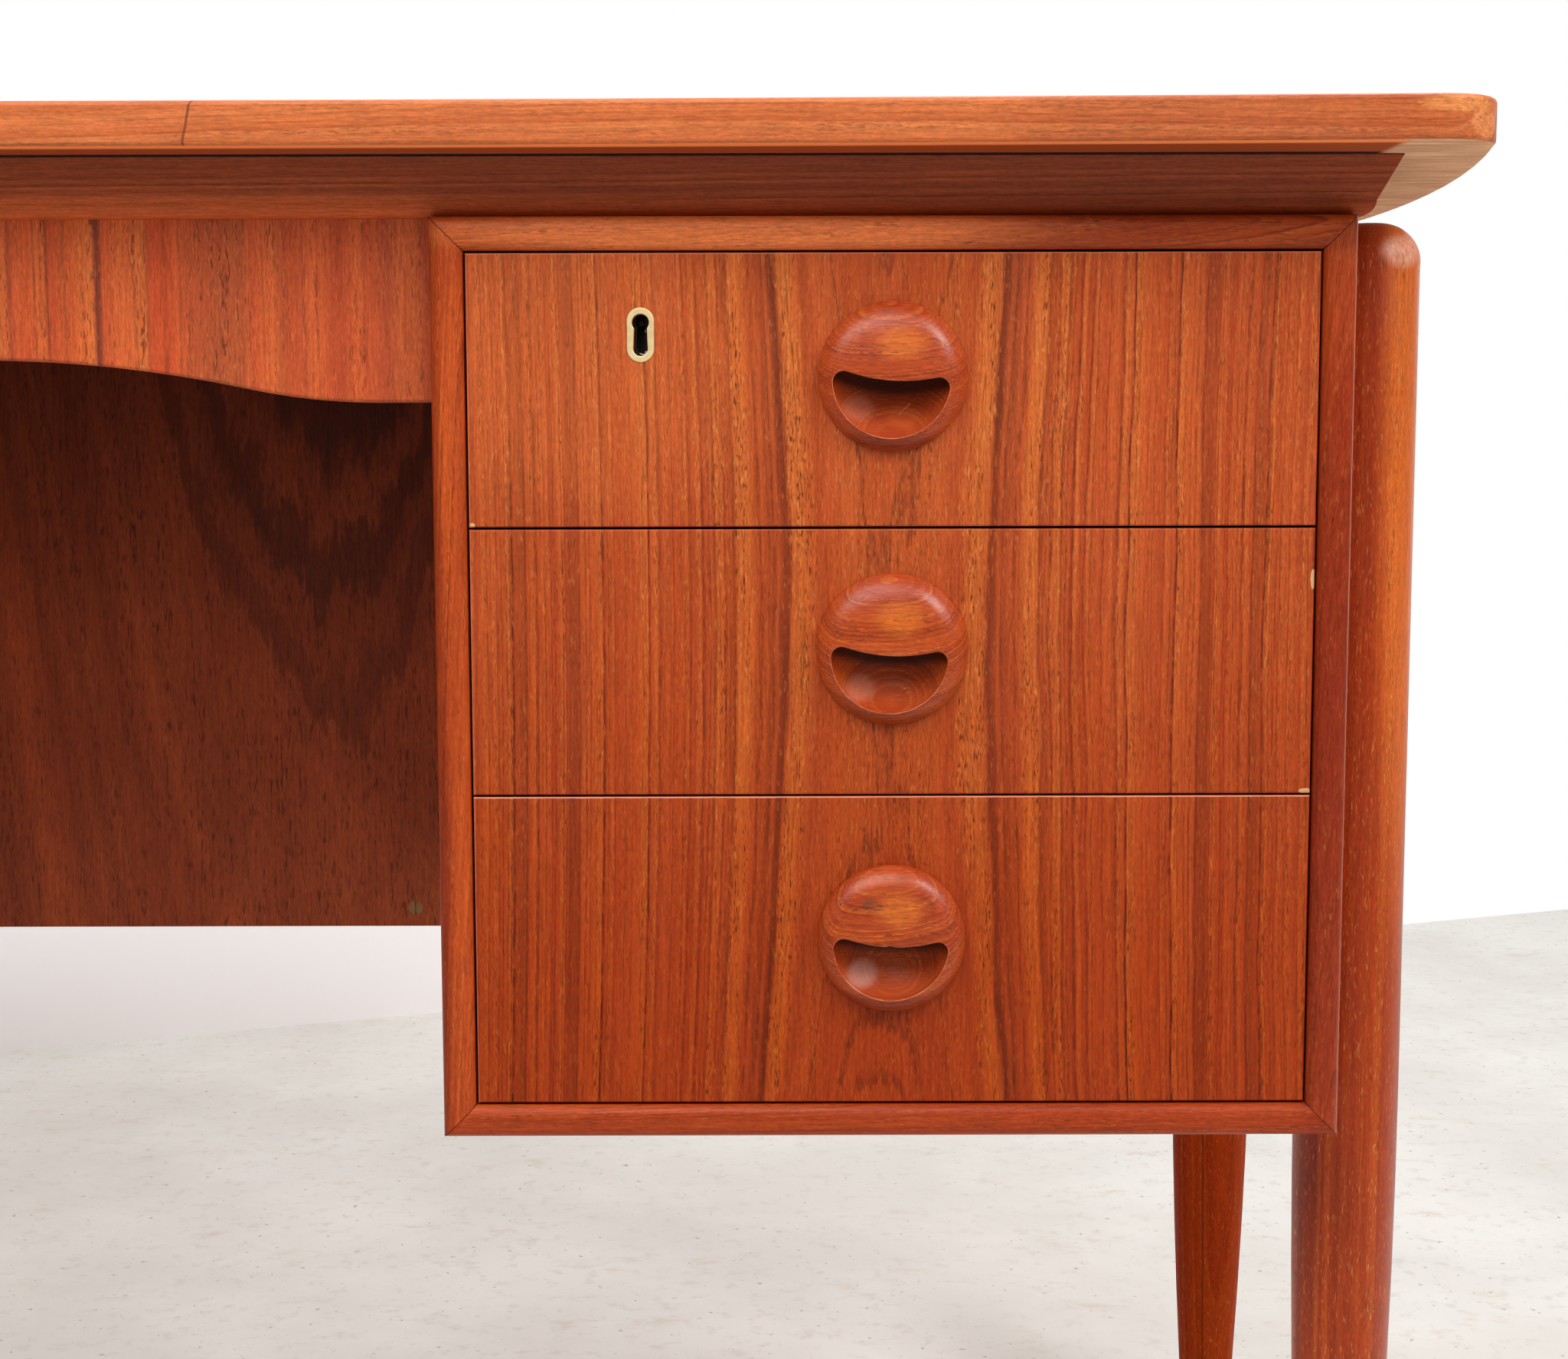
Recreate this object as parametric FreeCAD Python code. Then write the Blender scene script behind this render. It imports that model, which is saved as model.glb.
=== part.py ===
import FreeCAD, Part
import math
import os

# Writing desk with two hanging pedestals, a floating top and round turned legs.
# Millimetres, +X right, +Y back, +Z up. The origin is on the floor under the middle.

# Main sizes
kneehole_width = 494.2
pedestal_width = 376.9
pedestal_depth = 476.0
underside_height = 305.75

# Tabletop
top_thickness = 18.0
end_overhang = 76.0
end_bow = 34.0
front_overhang = 42.0
edge_hollow = 13.0
top_corner_radius = 25.0
top_edge_round = 2.0
top_lipping_width = 20.0
scarf_offset = 155.0
scarf_slant = 30.0

# Spacer frame under the top
rail_height = 23.75
rail_width = 40.0
rail_setback = 8.5
rail_reach = 8.4
rail_flare = 8.7
rail_round = 6.0

# Apron and panel of the kneehole
apron_setback = 14.0
apron_thickness = 16.0
apron_height = 74.5
arch_start = 25.0
arch_run = 170.0
arch_rise = 18.0
arch_bend_share = 0.3
apron_edge_round = 1.5
panel_thickness = 16.0
panel_inset = 35.0
batten_width = 22.0
batten_height = 22.0
panel_screw_offset = 77.0

# Pedestal case
frame_face = 13.75
frame_depth = 24.0
frame_round = 5.0
case_back_thickness = 10.0

# Drawers, from the top one down
top_drawer_height = 111.0
middle_drawer_height = 110.0
bottom_drawer_height = 130.0
drawer_gap = 1.0
drawer_setback = 3.0
drawer_front_thickness = 18.0
drawer_edge_round = 0.8
drawer_side_thickness = 12.0
drawer_back_space = 25.0
drawer_side_lift = 10.0
drawer_side_drop = 14.0
drawer_back_thickness = 12.0
drawer_bottom_thickness = 4.5
drawer_bottom_lift = 8.0
drawer_groove_depth = 5.0
runner_height = 12.0
runner_bite = 5.5
runner_clearance = 0.3
runner_groove_depth = 6.0
runner_back_gap = 8.0

# Turned pulls
pull_radius = 30.5
pull_height = 11.0
pull_shoulder_radius = 20.5
pull_shoulder_drop = 2.0
pull_rim_edge = 1.5
pull_boss_radius = 26.5
pull_boss_clearance = 0.1
pull_raise = 5.5
bowl_radius = 24.0
bowl_offset = 1.0
bowl_depth = 13.0
bowl_rim_height = 4.0
lip_drop = 2.0
lip_radius = 70.0
lip_offset = 2.5
lip_corner_round = 4.0

# Lock and keyhole of the top right drawer
lock_offset = 102.75
escutcheon_drop = 33.0
escutcheon_width = 11.1
escutcheon_height = 22.1
escutcheon_depth = 2.0
escutcheon_proud = 0.5
keyhole_radius = 3.5
keyhole_rise = 5.0
keyhole_fall = 8.5
keyhole_neck_width = 5.1
keyhole_foot_width = 6.0
escutcheon_round = 0.4
case_keyhole_shift = 1.0
case_keyhole_lift = 1.2
lock_width = 44.0
lock_height = 51.0
lock_pocket_depth = 10.0
lock_depth = 11.0
lock_wall = 1.5
lock_clearance = 0.3
bolt_width = 20.0
bolt_thickness = 5.0
bolt_body_width = 30.0
bolt_body_height = 12.0
bolt_tail_width = 12.0
bolt_tail_height = 20.0
bolt_travel = 7.0
key_post_radius = 1.1

# Legs
leg_radius = 23.25
leg_flat_depth = 0.75
leg_setback = 80.0
leg_rise = 2.6
leg_top_radius = 9.25
leg_dome_height = 19.0
leg_foot_radius = 13.0
leg_foot_round = 1.5

# Countersunk slotted screws
screw_head_radius = 4.25
screw_head_depth = 2.6
screw_shank_radius = 2.1
screw_slot_width = 1.1
screw_slot_depth = 1.0
screw_clearance = 0.05
panel_screw_length = 32.0
leg_screw_length = 40.0
leg_screw_drop_shares = (0.2, 0.8)
rail_screw_length = 32.0
rail_screw_shares = (0.2, 0.8)

# How near two places count as one
same_place = 0.01

# Places worked out from the sizes
Vec = FreeCAD.Vector
OUT = Vec(0, -1, 0)
RIGHT = Vec(1, 0, 0)
UP = Vec(0, 0, 1)

overrun = pedestal_width
inner_x = kneehole_width / 2
outer_x = inner_x + pedestal_width
centre_x = inner_x + pedestal_width / 2
half_length = outer_x + end_overhang
half_case_depth = pedestal_depth / 2
front_y = -half_case_depth
back_y = half_case_depth
half_depth = half_case_depth + front_overhang

opening_x0 = inner_x + frame_face
opening_x1 = outer_x - frame_face
opening_bottom = underside_height + frame_face
drawer_heights = (top_drawer_height, middle_drawer_height, bottom_drawer_height)
drawer_names = ("top", "middle", "bottom")
opening_top = opening_bottom + sum(drawer_heights) + drawer_gap * (len(drawer_heights) + 1)
case_top = opening_top + frame_face
rail_top = case_top + rail_height
desk_height = rail_top + top_thickness

board_y = front_y + frame_depth
case_inner_back = back_y - case_back_thickness
front_face_y = front_y + drawer_setback
front_back_y = front_face_y + drawer_front_thickness
drawer_x0 = opening_x0 + drawer_gap
drawer_x1 = opening_x1 - drawer_gap
side_end_y = case_inner_back - drawer_back_space

panel_back_y = back_y - panel_inset
panel_front_y = panel_back_y - panel_thickness
screw_z = underside_height + batten_height / 2

leg_x = outer_x + leg_radius - leg_flat_depth
leg_y = half_case_depth - leg_setback
leg_top = case_top + leg_rise

ring_x = outer_x + rail_reach
ring_y = half_case_depth - rail_setback

lock_x = centre_x - lock_offset
top_front_edge = opening_top - drawer_gap
escutcheon_z = top_front_edge - escutcheon_drop
keyhole_z = escutcheon_z + keyhole_rise
keyhole_foot_z = escutcheon_z - keyhole_fall
lock_front_y = front_back_y - lock_pocket_depth
bolt_front_y = lock_front_y + lock_wall + lock_clearance
bolt_top_z = top_front_edge - lock_wall - lock_clearance - bolt_travel


# Small builders

def block(x0, x1, y0, y1, z0, z1):
    """A square-cut board between two places along each axis."""
    return Part.makeBox(x1 - x0, y1 - y0, z1 - z0, Vec(x0, y0, z0))


def prism(points, path):
    """A solid on a polygon, drawn out along a path."""
    return Part.Face(Part.makePolygon(points + points[:1])).extrude(path)


def line(start, end):
    return Part.LineSegment(start, end).toShape()


def arc_through(start, middle, end):
    return Part.Arc(start, middle, end).toShape()


def arc_from(start, tangent, end):
    """The arc that leaves start along tangent and reaches end."""
    chord = end - start
    side = tangent - chord * (tangent.dot(chord) / chord.dot(chord))
    side.normalize()
    bulge = chord.Length / 2 * math.tan(tangent.getAngle(chord) / 2)
    return arc_through(start, (start + end) / 2 + side * bulge, end)


def solid_of(edges, path):
    """A solid on a closed outline of lines and arcs, drawn out along a path."""
    return Part.Face(Part.Wire(edges)).extrude(path)


def turned(edges, axis):
    """A solid of revolution from a half outline."""
    return Part.Face(Part.Wire(edges)).revolve(Vec(0, 0, 0), axis, 360)


def edges_at(shape, axis, place):
    """The edges that lie in the plane across an axis at a place."""
    low = axis + "Min"
    high = axis + "Max"
    found = []
    for edge in shape.Edges:
        box = edge.BoundBox
        span = max(abs(getattr(box, low) - place), abs(getattr(box, high) - place))
        if span < same_place:
            found.append(edge)
    return found


def mirrored(shape):
    """The same piece on the other side of the desk's middle."""
    return shape.mirror(Vec(0, 0, 0), RIGHT)


def save(node, *pieces):
    """One STEP file for one node, which may group separate solids."""
    shape = pieces[0] if len(pieces) == 1 else Part.makeCompound(list(pieces))
    shape.exportStep("parts/" + node + ".step")


def corners(centre, half_a, half_b, axis_a, axis_b):
    """The four corners of a rectangle, in order."""
    return [centre + axis_a * (half_a * i) + axis_b * (half_b * j)
            for i, j in ((-1, -1), (1, -1), (1, 1), (-1, 1))]


def mitred(ring, outside, inside, path):
    """The four lengths that a rectangular ring is mitred from."""
    lengths = []
    for i in range(4):
        j = (i + 1) % 4
        sector = prism([outside[i], outside[j], inside[j], inside[i]], path)
        lengths.append(ring.common(sector).Solids[0])
    return lengths


def screw(head, toward, length, grow=0.0):
    """A countersunk screw with its head's face at a point, or its hole when grown."""
    cone = Part.makeCone(screw_head_radius + grow, screw_shank_radius + grow,
                         screw_head_depth, head, toward)
    shank = Part.makeCylinder(screw_shank_radius + grow, length + grow, head, toward)
    return cone.fuse(shank).removeSplitter()


def slotted(solid, head, toward, across):
    """A screw with the driver slot cut across its head."""
    side = toward.cross(across)
    points = corners(head, screw_head_radius * 2, screw_slot_width / 2, across, side)
    return solid.cut(prism(points, toward * screw_slot_depth))


# Tabletop

def top_plan(half_x, half_y, low, high):
    """The top's plan, hollow along its front and back and bowed at its ends."""
    corner_x = half_x - end_bow
    right_front = Vec(corner_x, -half_y, low)
    right_back = Vec(corner_x, half_y, low)
    left_back = Vec(-corner_x, half_y, low)
    left_front = Vec(-corner_x, -half_y, low)
    edges = [arc_through(left_front, Vec(0, edge_hollow - half_y, low), right_front),
             arc_through(right_front, Vec(half_x, 0, low), right_back),
             arc_through(right_back, Vec(0, half_y - edge_hollow, low), left_back),
             arc_through(left_back, Vec(-half_x, 0, low), left_front)]
    return solid_of(edges, UP * (high - low))


def make_tabletop():
    """The veneered core and the solid lipping round it, with one scarf in front."""
    slab = top_plan(half_length, half_depth, rail_top, desk_height)
    upright = [e for e in slab.Edges if e.BoundBox.ZLength > top_thickness / 2]
    slab = slab.makeFillet(top_corner_radius, upright)
    rims = edges_at(slab, "Z", rail_top) + edges_at(slab, "Z", desk_height)
    slab = slab.makeFillet(top_edge_round, rims)
    core_x = half_length - top_lipping_width
    core_y = half_depth - top_lipping_width
    core = top_plan(core_x, core_y, rail_top, desk_height)
    band = slab.cut(core)

    middle = Vec(0, 0, rail_top)
    spread = (end_bow + top_lipping_width) * 2
    outside = corners(middle, half_length - end_bow + spread, half_depth + spread, RIGHT, -OUT)
    inside = corners(middle, core_x - end_bow, core_y, RIGHT, -OUT)
    lengths = []
    for i in range(4):
        j = (i + 1) % 4
        sector = prism([outside[i], outside[j], inside[j], middle, inside[i]],
                       UP * top_thickness)
        lengths.append(band.common(sector))

    start = Vec(scarf_offset, -half_depth, rail_top)
    end = start + Vec(scarf_slant, top_lipping_width + edge_hollow, 0)
    along = end - start
    scarf = prism([start - along, end + along, end + along + RIGHT * half_length * 2,
                   start - along + RIGHT * half_length * 2], UP * top_thickness)
    front = lengths[0].toNurbs()
    pieces = [front.cut(scarf), front.common(scarf)] + lengths[1:]
    save("tabletop_core", core)
    save("tabletop_lipping", *[piece.Solids[0] for piece in pieces])


# Spacer frame between the top and the pedestals

def rail_length(place, outward, along, half_run):
    """One rail of the spacer frame before its mitres, bevelled and rounded outside."""
    base = place + UP * case_top - along * half_run
    lower = base + UP * rail_round
    knee = rail_round * (1 - math.sqrt(0.5))
    edges = [line(base - outward * rail_width, base - outward * rail_round),
             arc_through(base - outward * rail_round, base - outward * knee + UP * knee, lower),
             line(lower, base + outward * rail_flare + UP * rail_height),
             line(base + outward * rail_flare + UP * rail_height,
                  base - outward * rail_width + UP * rail_height),
             line(base - outward * rail_width + UP * rail_height,
                  base - outward * rail_width)]
    return solid_of(edges, along * half_run * 2)


def make_spacer_frame(screw_holes):
    """Two long and two short rails, mitred at the corners."""
    middle = UP * case_top
    spread = rail_flare * 2
    outside = corners(middle, ring_x + spread, ring_y + spread, RIGHT, -OUT)
    reach = rail_width * 2
    inside = corners(middle, ring_x - reach, ring_y - reach, RIGHT, -OUT)
    rails = []
    for i, outward in enumerate((OUT, RIGHT, -OUT, -RIGHT)):
        place = outward * (ring_y if i % 2 == 0 else ring_x)
        along = RIGHT if i % 2 == 0 else Vec(0, 1, 0)
        half_run = (ring_x if i % 2 == 0 else ring_y) + spread
        rail = rail_length(place, outward, along, half_run)
        j = (i + 1) % 4
        sector = prism([outside[i], outside[j], inside[j], inside[i]], UP * rail_height)
        rails.append(rail.common(sector).Solids[0])
    for hole in screw_holes:
        rails[0] = rails[0].cut(hole)
        rails[2] = rails[2].cut(hole)
    save("spacer_long_rails", rails[0], rails[2])
    save("spacer_end_rails", rails[1], rails[3])


# Apron, panel and batten of the kneehole

def make_apron():
    """The front apron with a shallow arch between two S-shaped shoulders."""
    y = front_y + apron_setback
    low = case_top - apron_height
    half = [Vec(inner_x, y, low), Vec(inner_x - arch_start, y, low)]
    crest = half[1] + Vec(-arch_run, 0, arch_rise)
    bend = half[1] + (crest - half[1]) * arch_bend_share
    flip = [Vec(-p.x, p.y, p.z) for p in half + [bend, crest]]
    top_right = Vec(inner_x, y, case_top)
    top_left = Vec(-inner_x, y, case_top)
    edges = [line(top_right, half[0]),
             line(half[0], half[1]),
             arc_from(half[1], -RIGHT, bend),
             arc_from(crest, RIGHT, bend),
             line(crest, flip[3]),
             arc_from(flip[3], -RIGHT, flip[2]),
             arc_from(flip[1], RIGHT, flip[2]),
             line(flip[1], flip[0]),
             line(flip[0], top_left),
             line(top_left, top_right)]
    apron = solid_of(edges, -OUT * apron_thickness)
    middle_z = case_top - apron_height / 2
    rim = [e for e in edges_at(apron, "Y", y) if e.BoundBox.ZMax < middle_z]
    save("kneehole_apron", apron.makeFillet(apron_edge_round, rim))


def make_kneehole_back():
    """The veneered panel at the back, with a batten and two slotted screws."""
    panel = block(-inner_x, inner_x, panel_front_y, panel_back_y, underside_height, case_top)
    batten = block(-inner_x, inner_x, panel_back_y, panel_back_y + batten_width,
                   underside_height, underside_height + batten_height)
    screws = []
    for side in (-1, 1):
        head = Vec(side * (inner_x - panel_screw_offset), panel_front_y, screw_z)
        hole = screw(head, -OUT, panel_screw_length, screw_clearance)
        panel = panel.cut(hole)
        batten = batten.cut(hole)
        screws.append(slotted(screw(head, -OUT, panel_screw_length), head, -OUT, UP))
    save("kneehole_back_panel", panel)
    save("kneehole_batten", batten)
    save("kneehole_panel_screws", *screws)


# Pedestal cases

def front_frame():
    """The mitred front frame of the right pedestal, with rounded edges."""
    middle = Vec(centre_x, front_y, (underside_height + case_top) / 2)
    half_a = pedestal_width / 2
    half_b = (case_top - underside_height) / 2
    ring = block(inner_x, outer_x, front_y, board_y, underside_height, case_top)
    hole = block(opening_x0, opening_x1, front_y - overrun, board_y + overrun,
                 opening_bottom, opening_top)
    ring = ring.cut(hole)
    ring = ring.makeFillet(frame_round, edges_at(ring, "Y", front_y))
    outside = corners(middle, half_a + frame_face, half_b + frame_face, RIGHT, UP)
    reach = frame_face * 2
    inside = corners(middle, half_a - reach, half_b - reach, RIGHT, UP)
    return mitred(ring, outside, inside, -OUT * frame_depth)


def bolt_mortise():
    """The pocket in the frame that the lock's bolt rises into."""
    half = bolt_width / 2 + lock_clearance * 2
    return block(lock_x - half, lock_x + half, bolt_front_y - lock_clearance * 2,
                 bolt_front_y + bolt_thickness + lock_clearance * 2,
                 opening_top - drawer_gap, opening_top + bolt_travel)


def leg_screws():
    """Where the screws of the right pedestal's two legs start."""
    heads = []
    for share in leg_screw_drop_shares:
        z = opening_bottom + (opening_top - opening_bottom) * share
        for side in (-1, 1):
            heads.append(Vec(opening_x1, side * leg_y, z))
    return heads


def rail_screws():
    """Where the screws that hold the right pedestal to the spacer frame start."""
    heads = []
    for share in rail_screw_shares:
        x = opening_x0 + (opening_x1 - opening_x0) * share
        for side in (-1, 1):
            heads.append(Vec(x, side * (ring_y - rail_width / 2), opening_top))
    return heads


def runner_centres():
    """The height of each drawer's runners."""
    return [low + height / 2 for low, height in zip(drawer_levels(), drawer_heights)]


def runners():
    """The six hardwood runners glued to the case sides."""
    strips = []
    reach = drawer_gap + runner_bite
    start = front_back_y + runner_clearance
    end = case_inner_back - runner_back_gap
    for z in runner_centres():
        low = z - runner_height / 2
        high = z + runner_height / 2
        strips.append(block(opening_x0, opening_x0 + reach, start, end, low, high))
        strips.append(block(opening_x1 - reach, opening_x1, start, end, low, high))
    return strips


def make_pedestals():
    """Both pedestal cases, the left one a mirror image without the bolt's mortise."""
    inner_side = block(inner_x, opening_x0, board_y, back_y, underside_height, case_top)
    outer_side = block(opening_x1, outer_x, board_y, back_y, underside_height, case_top)
    top_board = block(opening_x0, opening_x1, board_y, back_y, opening_top, case_top)
    floor_board = block(opening_x0, opening_x1, board_y, back_y,
                        underside_height, opening_bottom)
    back_board = block(opening_x0, opening_x1, case_inner_back, back_y,
                       opening_bottom, opening_top)
    for head in leg_screws():
        outer_side = outer_side.cut(screw(head, RIGHT, leg_screw_length, screw_clearance))
    for head in rail_screws():
        top_board = top_board.cut(screw(head, UP, rail_screw_length, screw_clearance))
    frame = front_frame()
    keyed = [length.cut(bolt_mortise()) for length in frame]
    for name, turn, lengths in (("right", None, keyed), ("left", mirrored, frame)):
        groups = {"inner_side": [inner_side], "outer_side": [outer_side],
                  "cross_boards": [top_board, floor_board], "back_board": [back_board],
                  "front_frame": lengths, "runners": runners()}
        for piece, solids in groups.items():
            placed = [turn(solid) for solid in solids] if turn else solids
            save(name + "_pedestal_" + piece, *placed)


# Legs

def leg():
    """One turned leg on the Z axis, domed above and tapered below the pedestal."""
    foot = Vec(leg_foot_radius, 0, leg_foot_round)
    taper_top = Vec(leg_radius, 0, underside_height)
    dome_base = Vec(leg_radius, 0, leg_top - leg_dome_height)
    dome_top = Vec(leg_top_radius, 0, leg_top)
    dome_run = leg_radius - leg_top_radius
    shoulder = Vec(leg_top_radius + dome_run * math.sqrt(0.5), 0,
                   leg_top - leg_dome_height * (1 - math.sqrt(0.5)))
    sole = Vec(leg_foot_radius - leg_foot_round, 0, 0)
    origin = Vec(0, 0, 0)
    edges = [line(origin, sole),
             line(sole, foot),
             arc_from(taper_top, -UP, foot),
             line(taper_top, dome_base),
             arc_through(dome_base, shoulder, dome_top),
             line(dome_top, Vec(0, 0, leg_top)),
             line(Vec(0, 0, leg_top), origin)]
    return turned(edges, UP)


def make_legs():
    """Four legs, each seated on a narrow flat and held by two screws from inside."""
    pattern = leg()
    seat = block(outer_x - overrun, outer_x, -overrun, overrun, underside_height,
                 leg_top + overrun)
    screws = []
    for head in leg_screws():
        solid = screw(head, RIGHT, leg_screw_length)
        solid = slotted(solid, head, RIGHT, UP)
        screws += [solid, mirrored(solid)]
    for name, side in (("front", -1), ("back", 1)):
        placed = pattern.copy()
        placed.translate(Vec(leg_x, side * leg_y, 0))
        placed = placed.cut(seat)
        for head in leg_screws():
            placed = placed.cut(screw(head, RIGHT, leg_screw_length, screw_clearance))
        save(name + "_right_leg", placed)
        save(name + "_left_leg", mirrored(placed))
    save("leg_screws", *screws)


# Drawers

def drawer_levels():
    """The lower edge of each drawer front, from the top drawer down."""
    levels = []
    edge = opening_top
    for height in drawer_heights:
        edge -= drawer_gap + height
        levels.append(edge)
    return levels


def pull_centre(low, height):
    return Vec(centre_x, front_face_y, low + height / 2 + pull_raise)


def pull_axis_cylinder(radius, centre, start, end):
    """A round bar along the pull's axis, start and end measured out of the front."""
    return Part.makeCylinder(radius, end - start, centre + OUT * start, OUT)


def drawer_front(low, height):
    """A veneered front with the hole for its pull and the groove for its bottom."""
    front = block(drawer_x0, drawer_x1, front_face_y, front_back_y, low, low + height)
    front = front.makeFillet(drawer_edge_round, edges_at(front, "Y", front_face_y))
    hole = pull_axis_cylinder(pull_boss_radius, pull_centre(low, height),
                              -drawer_front_thickness - drawer_gap, drawer_gap)
    inner = drawer_side_thickness - drawer_groove_depth
    groove_low = low + drawer_side_lift + drawer_bottom_lift
    groove = block(drawer_x0 + inner, drawer_x1 - inner,
                   front_back_y - drawer_groove_depth, front_back_y + drawer_gap,
                   groove_low, groove_low + drawer_bottom_thickness)
    return front.cut(hole).cut(groove)


def drawer_sides(low, height):
    """Both sides, grooved outside for the runner and inside for the bottom."""
    z0 = low + drawer_side_lift
    z1 = low + height - drawer_side_drop
    mid = low + height / 2
    slot = runner_height / 2 + runner_clearance
    floor_z = z0 + drawer_bottom_lift
    sides = []
    for x, turn in ((drawer_x0, 1), (drawer_x1, -1)):
        inner = x + turn * drawer_side_thickness
        side = block(min(x, inner), max(x, inner), front_back_y, side_end_y, z0, z1)
        depth = x + turn * runner_groove_depth
        side = side.cut(block(min(x, depth), max(x, depth), front_back_y, side_end_y,
                              mid - slot, mid + slot))
        reach = inner - turn * drawer_groove_depth
        side = side.cut(block(min(reach, inner), max(reach, inner), front_back_y,
                              side_end_y, floor_z, floor_z + drawer_bottom_thickness))
        sides.append(side)
    return sides


def drawer_back(low, height):
    """The back board, which stands on the drawer's bottom."""
    z0 = low + drawer_side_lift + drawer_bottom_lift + drawer_bottom_thickness
    z1 = low + height - drawer_side_drop
    return block(drawer_x0 + drawer_side_thickness, drawer_x1 - drawer_side_thickness,
                 side_end_y - drawer_back_thickness, side_end_y, z0, z1)


def drawer_bottom(low):
    """The thin bottom, held in the grooves of the front and the sides."""
    inner = drawer_side_thickness - drawer_groove_depth
    z0 = low + drawer_side_lift + drawer_bottom_lift
    return block(drawer_x0 + inner, drawer_x1 - inner, front_back_y - drawer_groove_depth,
                 side_end_y, z0, z0 + drawer_bottom_thickness)


def pull():
    """A turned pull round the Y axis, domed in front, with its boss behind."""
    crown = Vec(0, -pull_height, 0)
    shoulder = Vec(pull_shoulder_radius, pull_shoulder_drop - pull_height, 0)
    rim = Vec(pull_radius, -pull_rim_edge, 0)
    back = drawer_front_thickness
    boss = pull_boss_radius - pull_boss_clearance
    slope = 2 * math.atan(pull_shoulder_drop / pull_shoulder_radius)
    edges = [arc_from(crown, RIGHT, shoulder),
             arc_from(shoulder, Vec(math.cos(slope), math.sin(slope), 0), rim),
             line(rim, Vec(pull_radius, 0, 0)),
             line(Vec(pull_radius, 0, 0), Vec(boss, 0, 0)),
             line(Vec(boss, 0, 0), Vec(boss, back, 0)),
             line(Vec(boss, back, 0), Vec(0, back, 0)),
             line(Vec(0, back, 0), crown)]
    body = turned(edges, -OUT)

    bowl_centre = Vec(0, 0, -bowl_offset)
    ball_radius = (bowl_radius ** 2 + bowl_depth ** 2) / (2 * bowl_depth)
    ball_height = bowl_rim_height + ball_radius - bowl_depth
    ball = Part.makeSphere(ball_radius, bowl_centre + OUT * ball_height)
    below = pull_axis_cylinder(pull_radius * 2, bowl_centre, -overrun, bowl_rim_height)
    mouth = pull_axis_cylinder(bowl_radius, bowl_centre, bowl_rim_height, pull_height * 2)
    lip_centre = RIGHT * lip_offset + UP * (lip_radius - lip_drop)
    lid = pull_axis_cylinder(lip_radius, lip_centre, -overrun, overrun)
    mouth = mouth.cut(lid)
    ends = [e for e in mouth.Edges if len(e.Vertexes) == 2 and is_across(e)]
    mouth = mouth.makeFillet(lip_corner_round, ends)
    return body.cut(ball.common(below)).cut(mouth)


def is_across(edge):
    """True for a straight edge that runs along the pull's axis."""
    box = edge.BoundBox
    return box.YLength > pull_height / 2 and max(box.XLength, box.ZLength) < same_place


def make_drawers():
    """Six drawers, the top right one with a lock."""
    pattern = pull()
    for name, low, height in zip(drawer_names, drawer_levels(), drawer_heights):
        front = drawer_front(low, height)
        knob = pattern.copy()
        knob.translate(pull_centre(low, height))
        groups = {"front": [front], "sides": drawer_sides(low, height),
                  "back": [drawer_back(low, height)], "bottom": [drawer_bottom(low)],
                  "pull": [knob]}
        for piece, solids in groups.items():
            placed = [mirrored(solid) for solid in solids]
            save("left_" + name + "_drawer_" + piece, *placed)
        if name == "top":
            groups["front"] = [front.cut(lock_pocket())]
        for piece, solids in groups.items():
            save("right_" + name + "_drawer_" + piece, *solids)


# Lock of the top right drawer

def keyhole(start, end, shift=0.0, lift=0.0):
    """The keyhole's shape between two places along Y, a flared slot under a round."""
    neck = keyhole_neck_width / 2
    foot = keyhole_foot_width / 2
    eye = Vec(lock_x + shift, start, keyhole_z + lift)
    heel = Vec(lock_x + shift, start, keyhole_foot_z + foot + lift)
    slot = prism([eye - RIGHT * neck, eye + RIGHT * neck, heel + RIGHT * foot,
                  heel - RIGHT * foot], -OUT * (end - start))
    rounds = [Part.makeCylinder(keyhole_radius, end - start, eye, -OUT),
              Part.makeCylinder(foot, end - start, heel, -OUT)]
    return slot.fuse(rounds).removeSplitter()


def stadium(grow, start, end):
    """The escutcheon's outline, a slot shape with round ends."""
    radius = escutcheon_width / 2 + grow
    rise = (escutcheon_height - escutcheon_width) / 2
    body = block(lock_x - radius, lock_x + radius, start, end,
                 escutcheon_z - rise, escutcheon_z + rise)
    for side in (-1, 1):
        centre = Vec(lock_x, start, escutcheon_z + side * rise)
        body = body.fuse(Part.makeCylinder(radius, end - start, centre, -OUT))
    return body.removeSplitter()


def lock_box(grow):
    """The space that the lock takes in the drawer front."""
    half = lock_width / 2 + grow
    return block(lock_x - half, lock_x + half, lock_front_y - grow, lock_front_y + lock_depth,
                 top_front_edge - lock_height - grow, top_front_edge)


def lock_pocket():
    """All that is cut from the drawer front for the lock, keyhole and escutcheon."""
    seat = stadium(screw_clearance, front_face_y - drawer_gap,
                   front_face_y + escutcheon_depth - escutcheon_proud)
    return lock_box(screw_clearance).fuse([keyhole(front_face_y, lock_front_y), seat])


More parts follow.
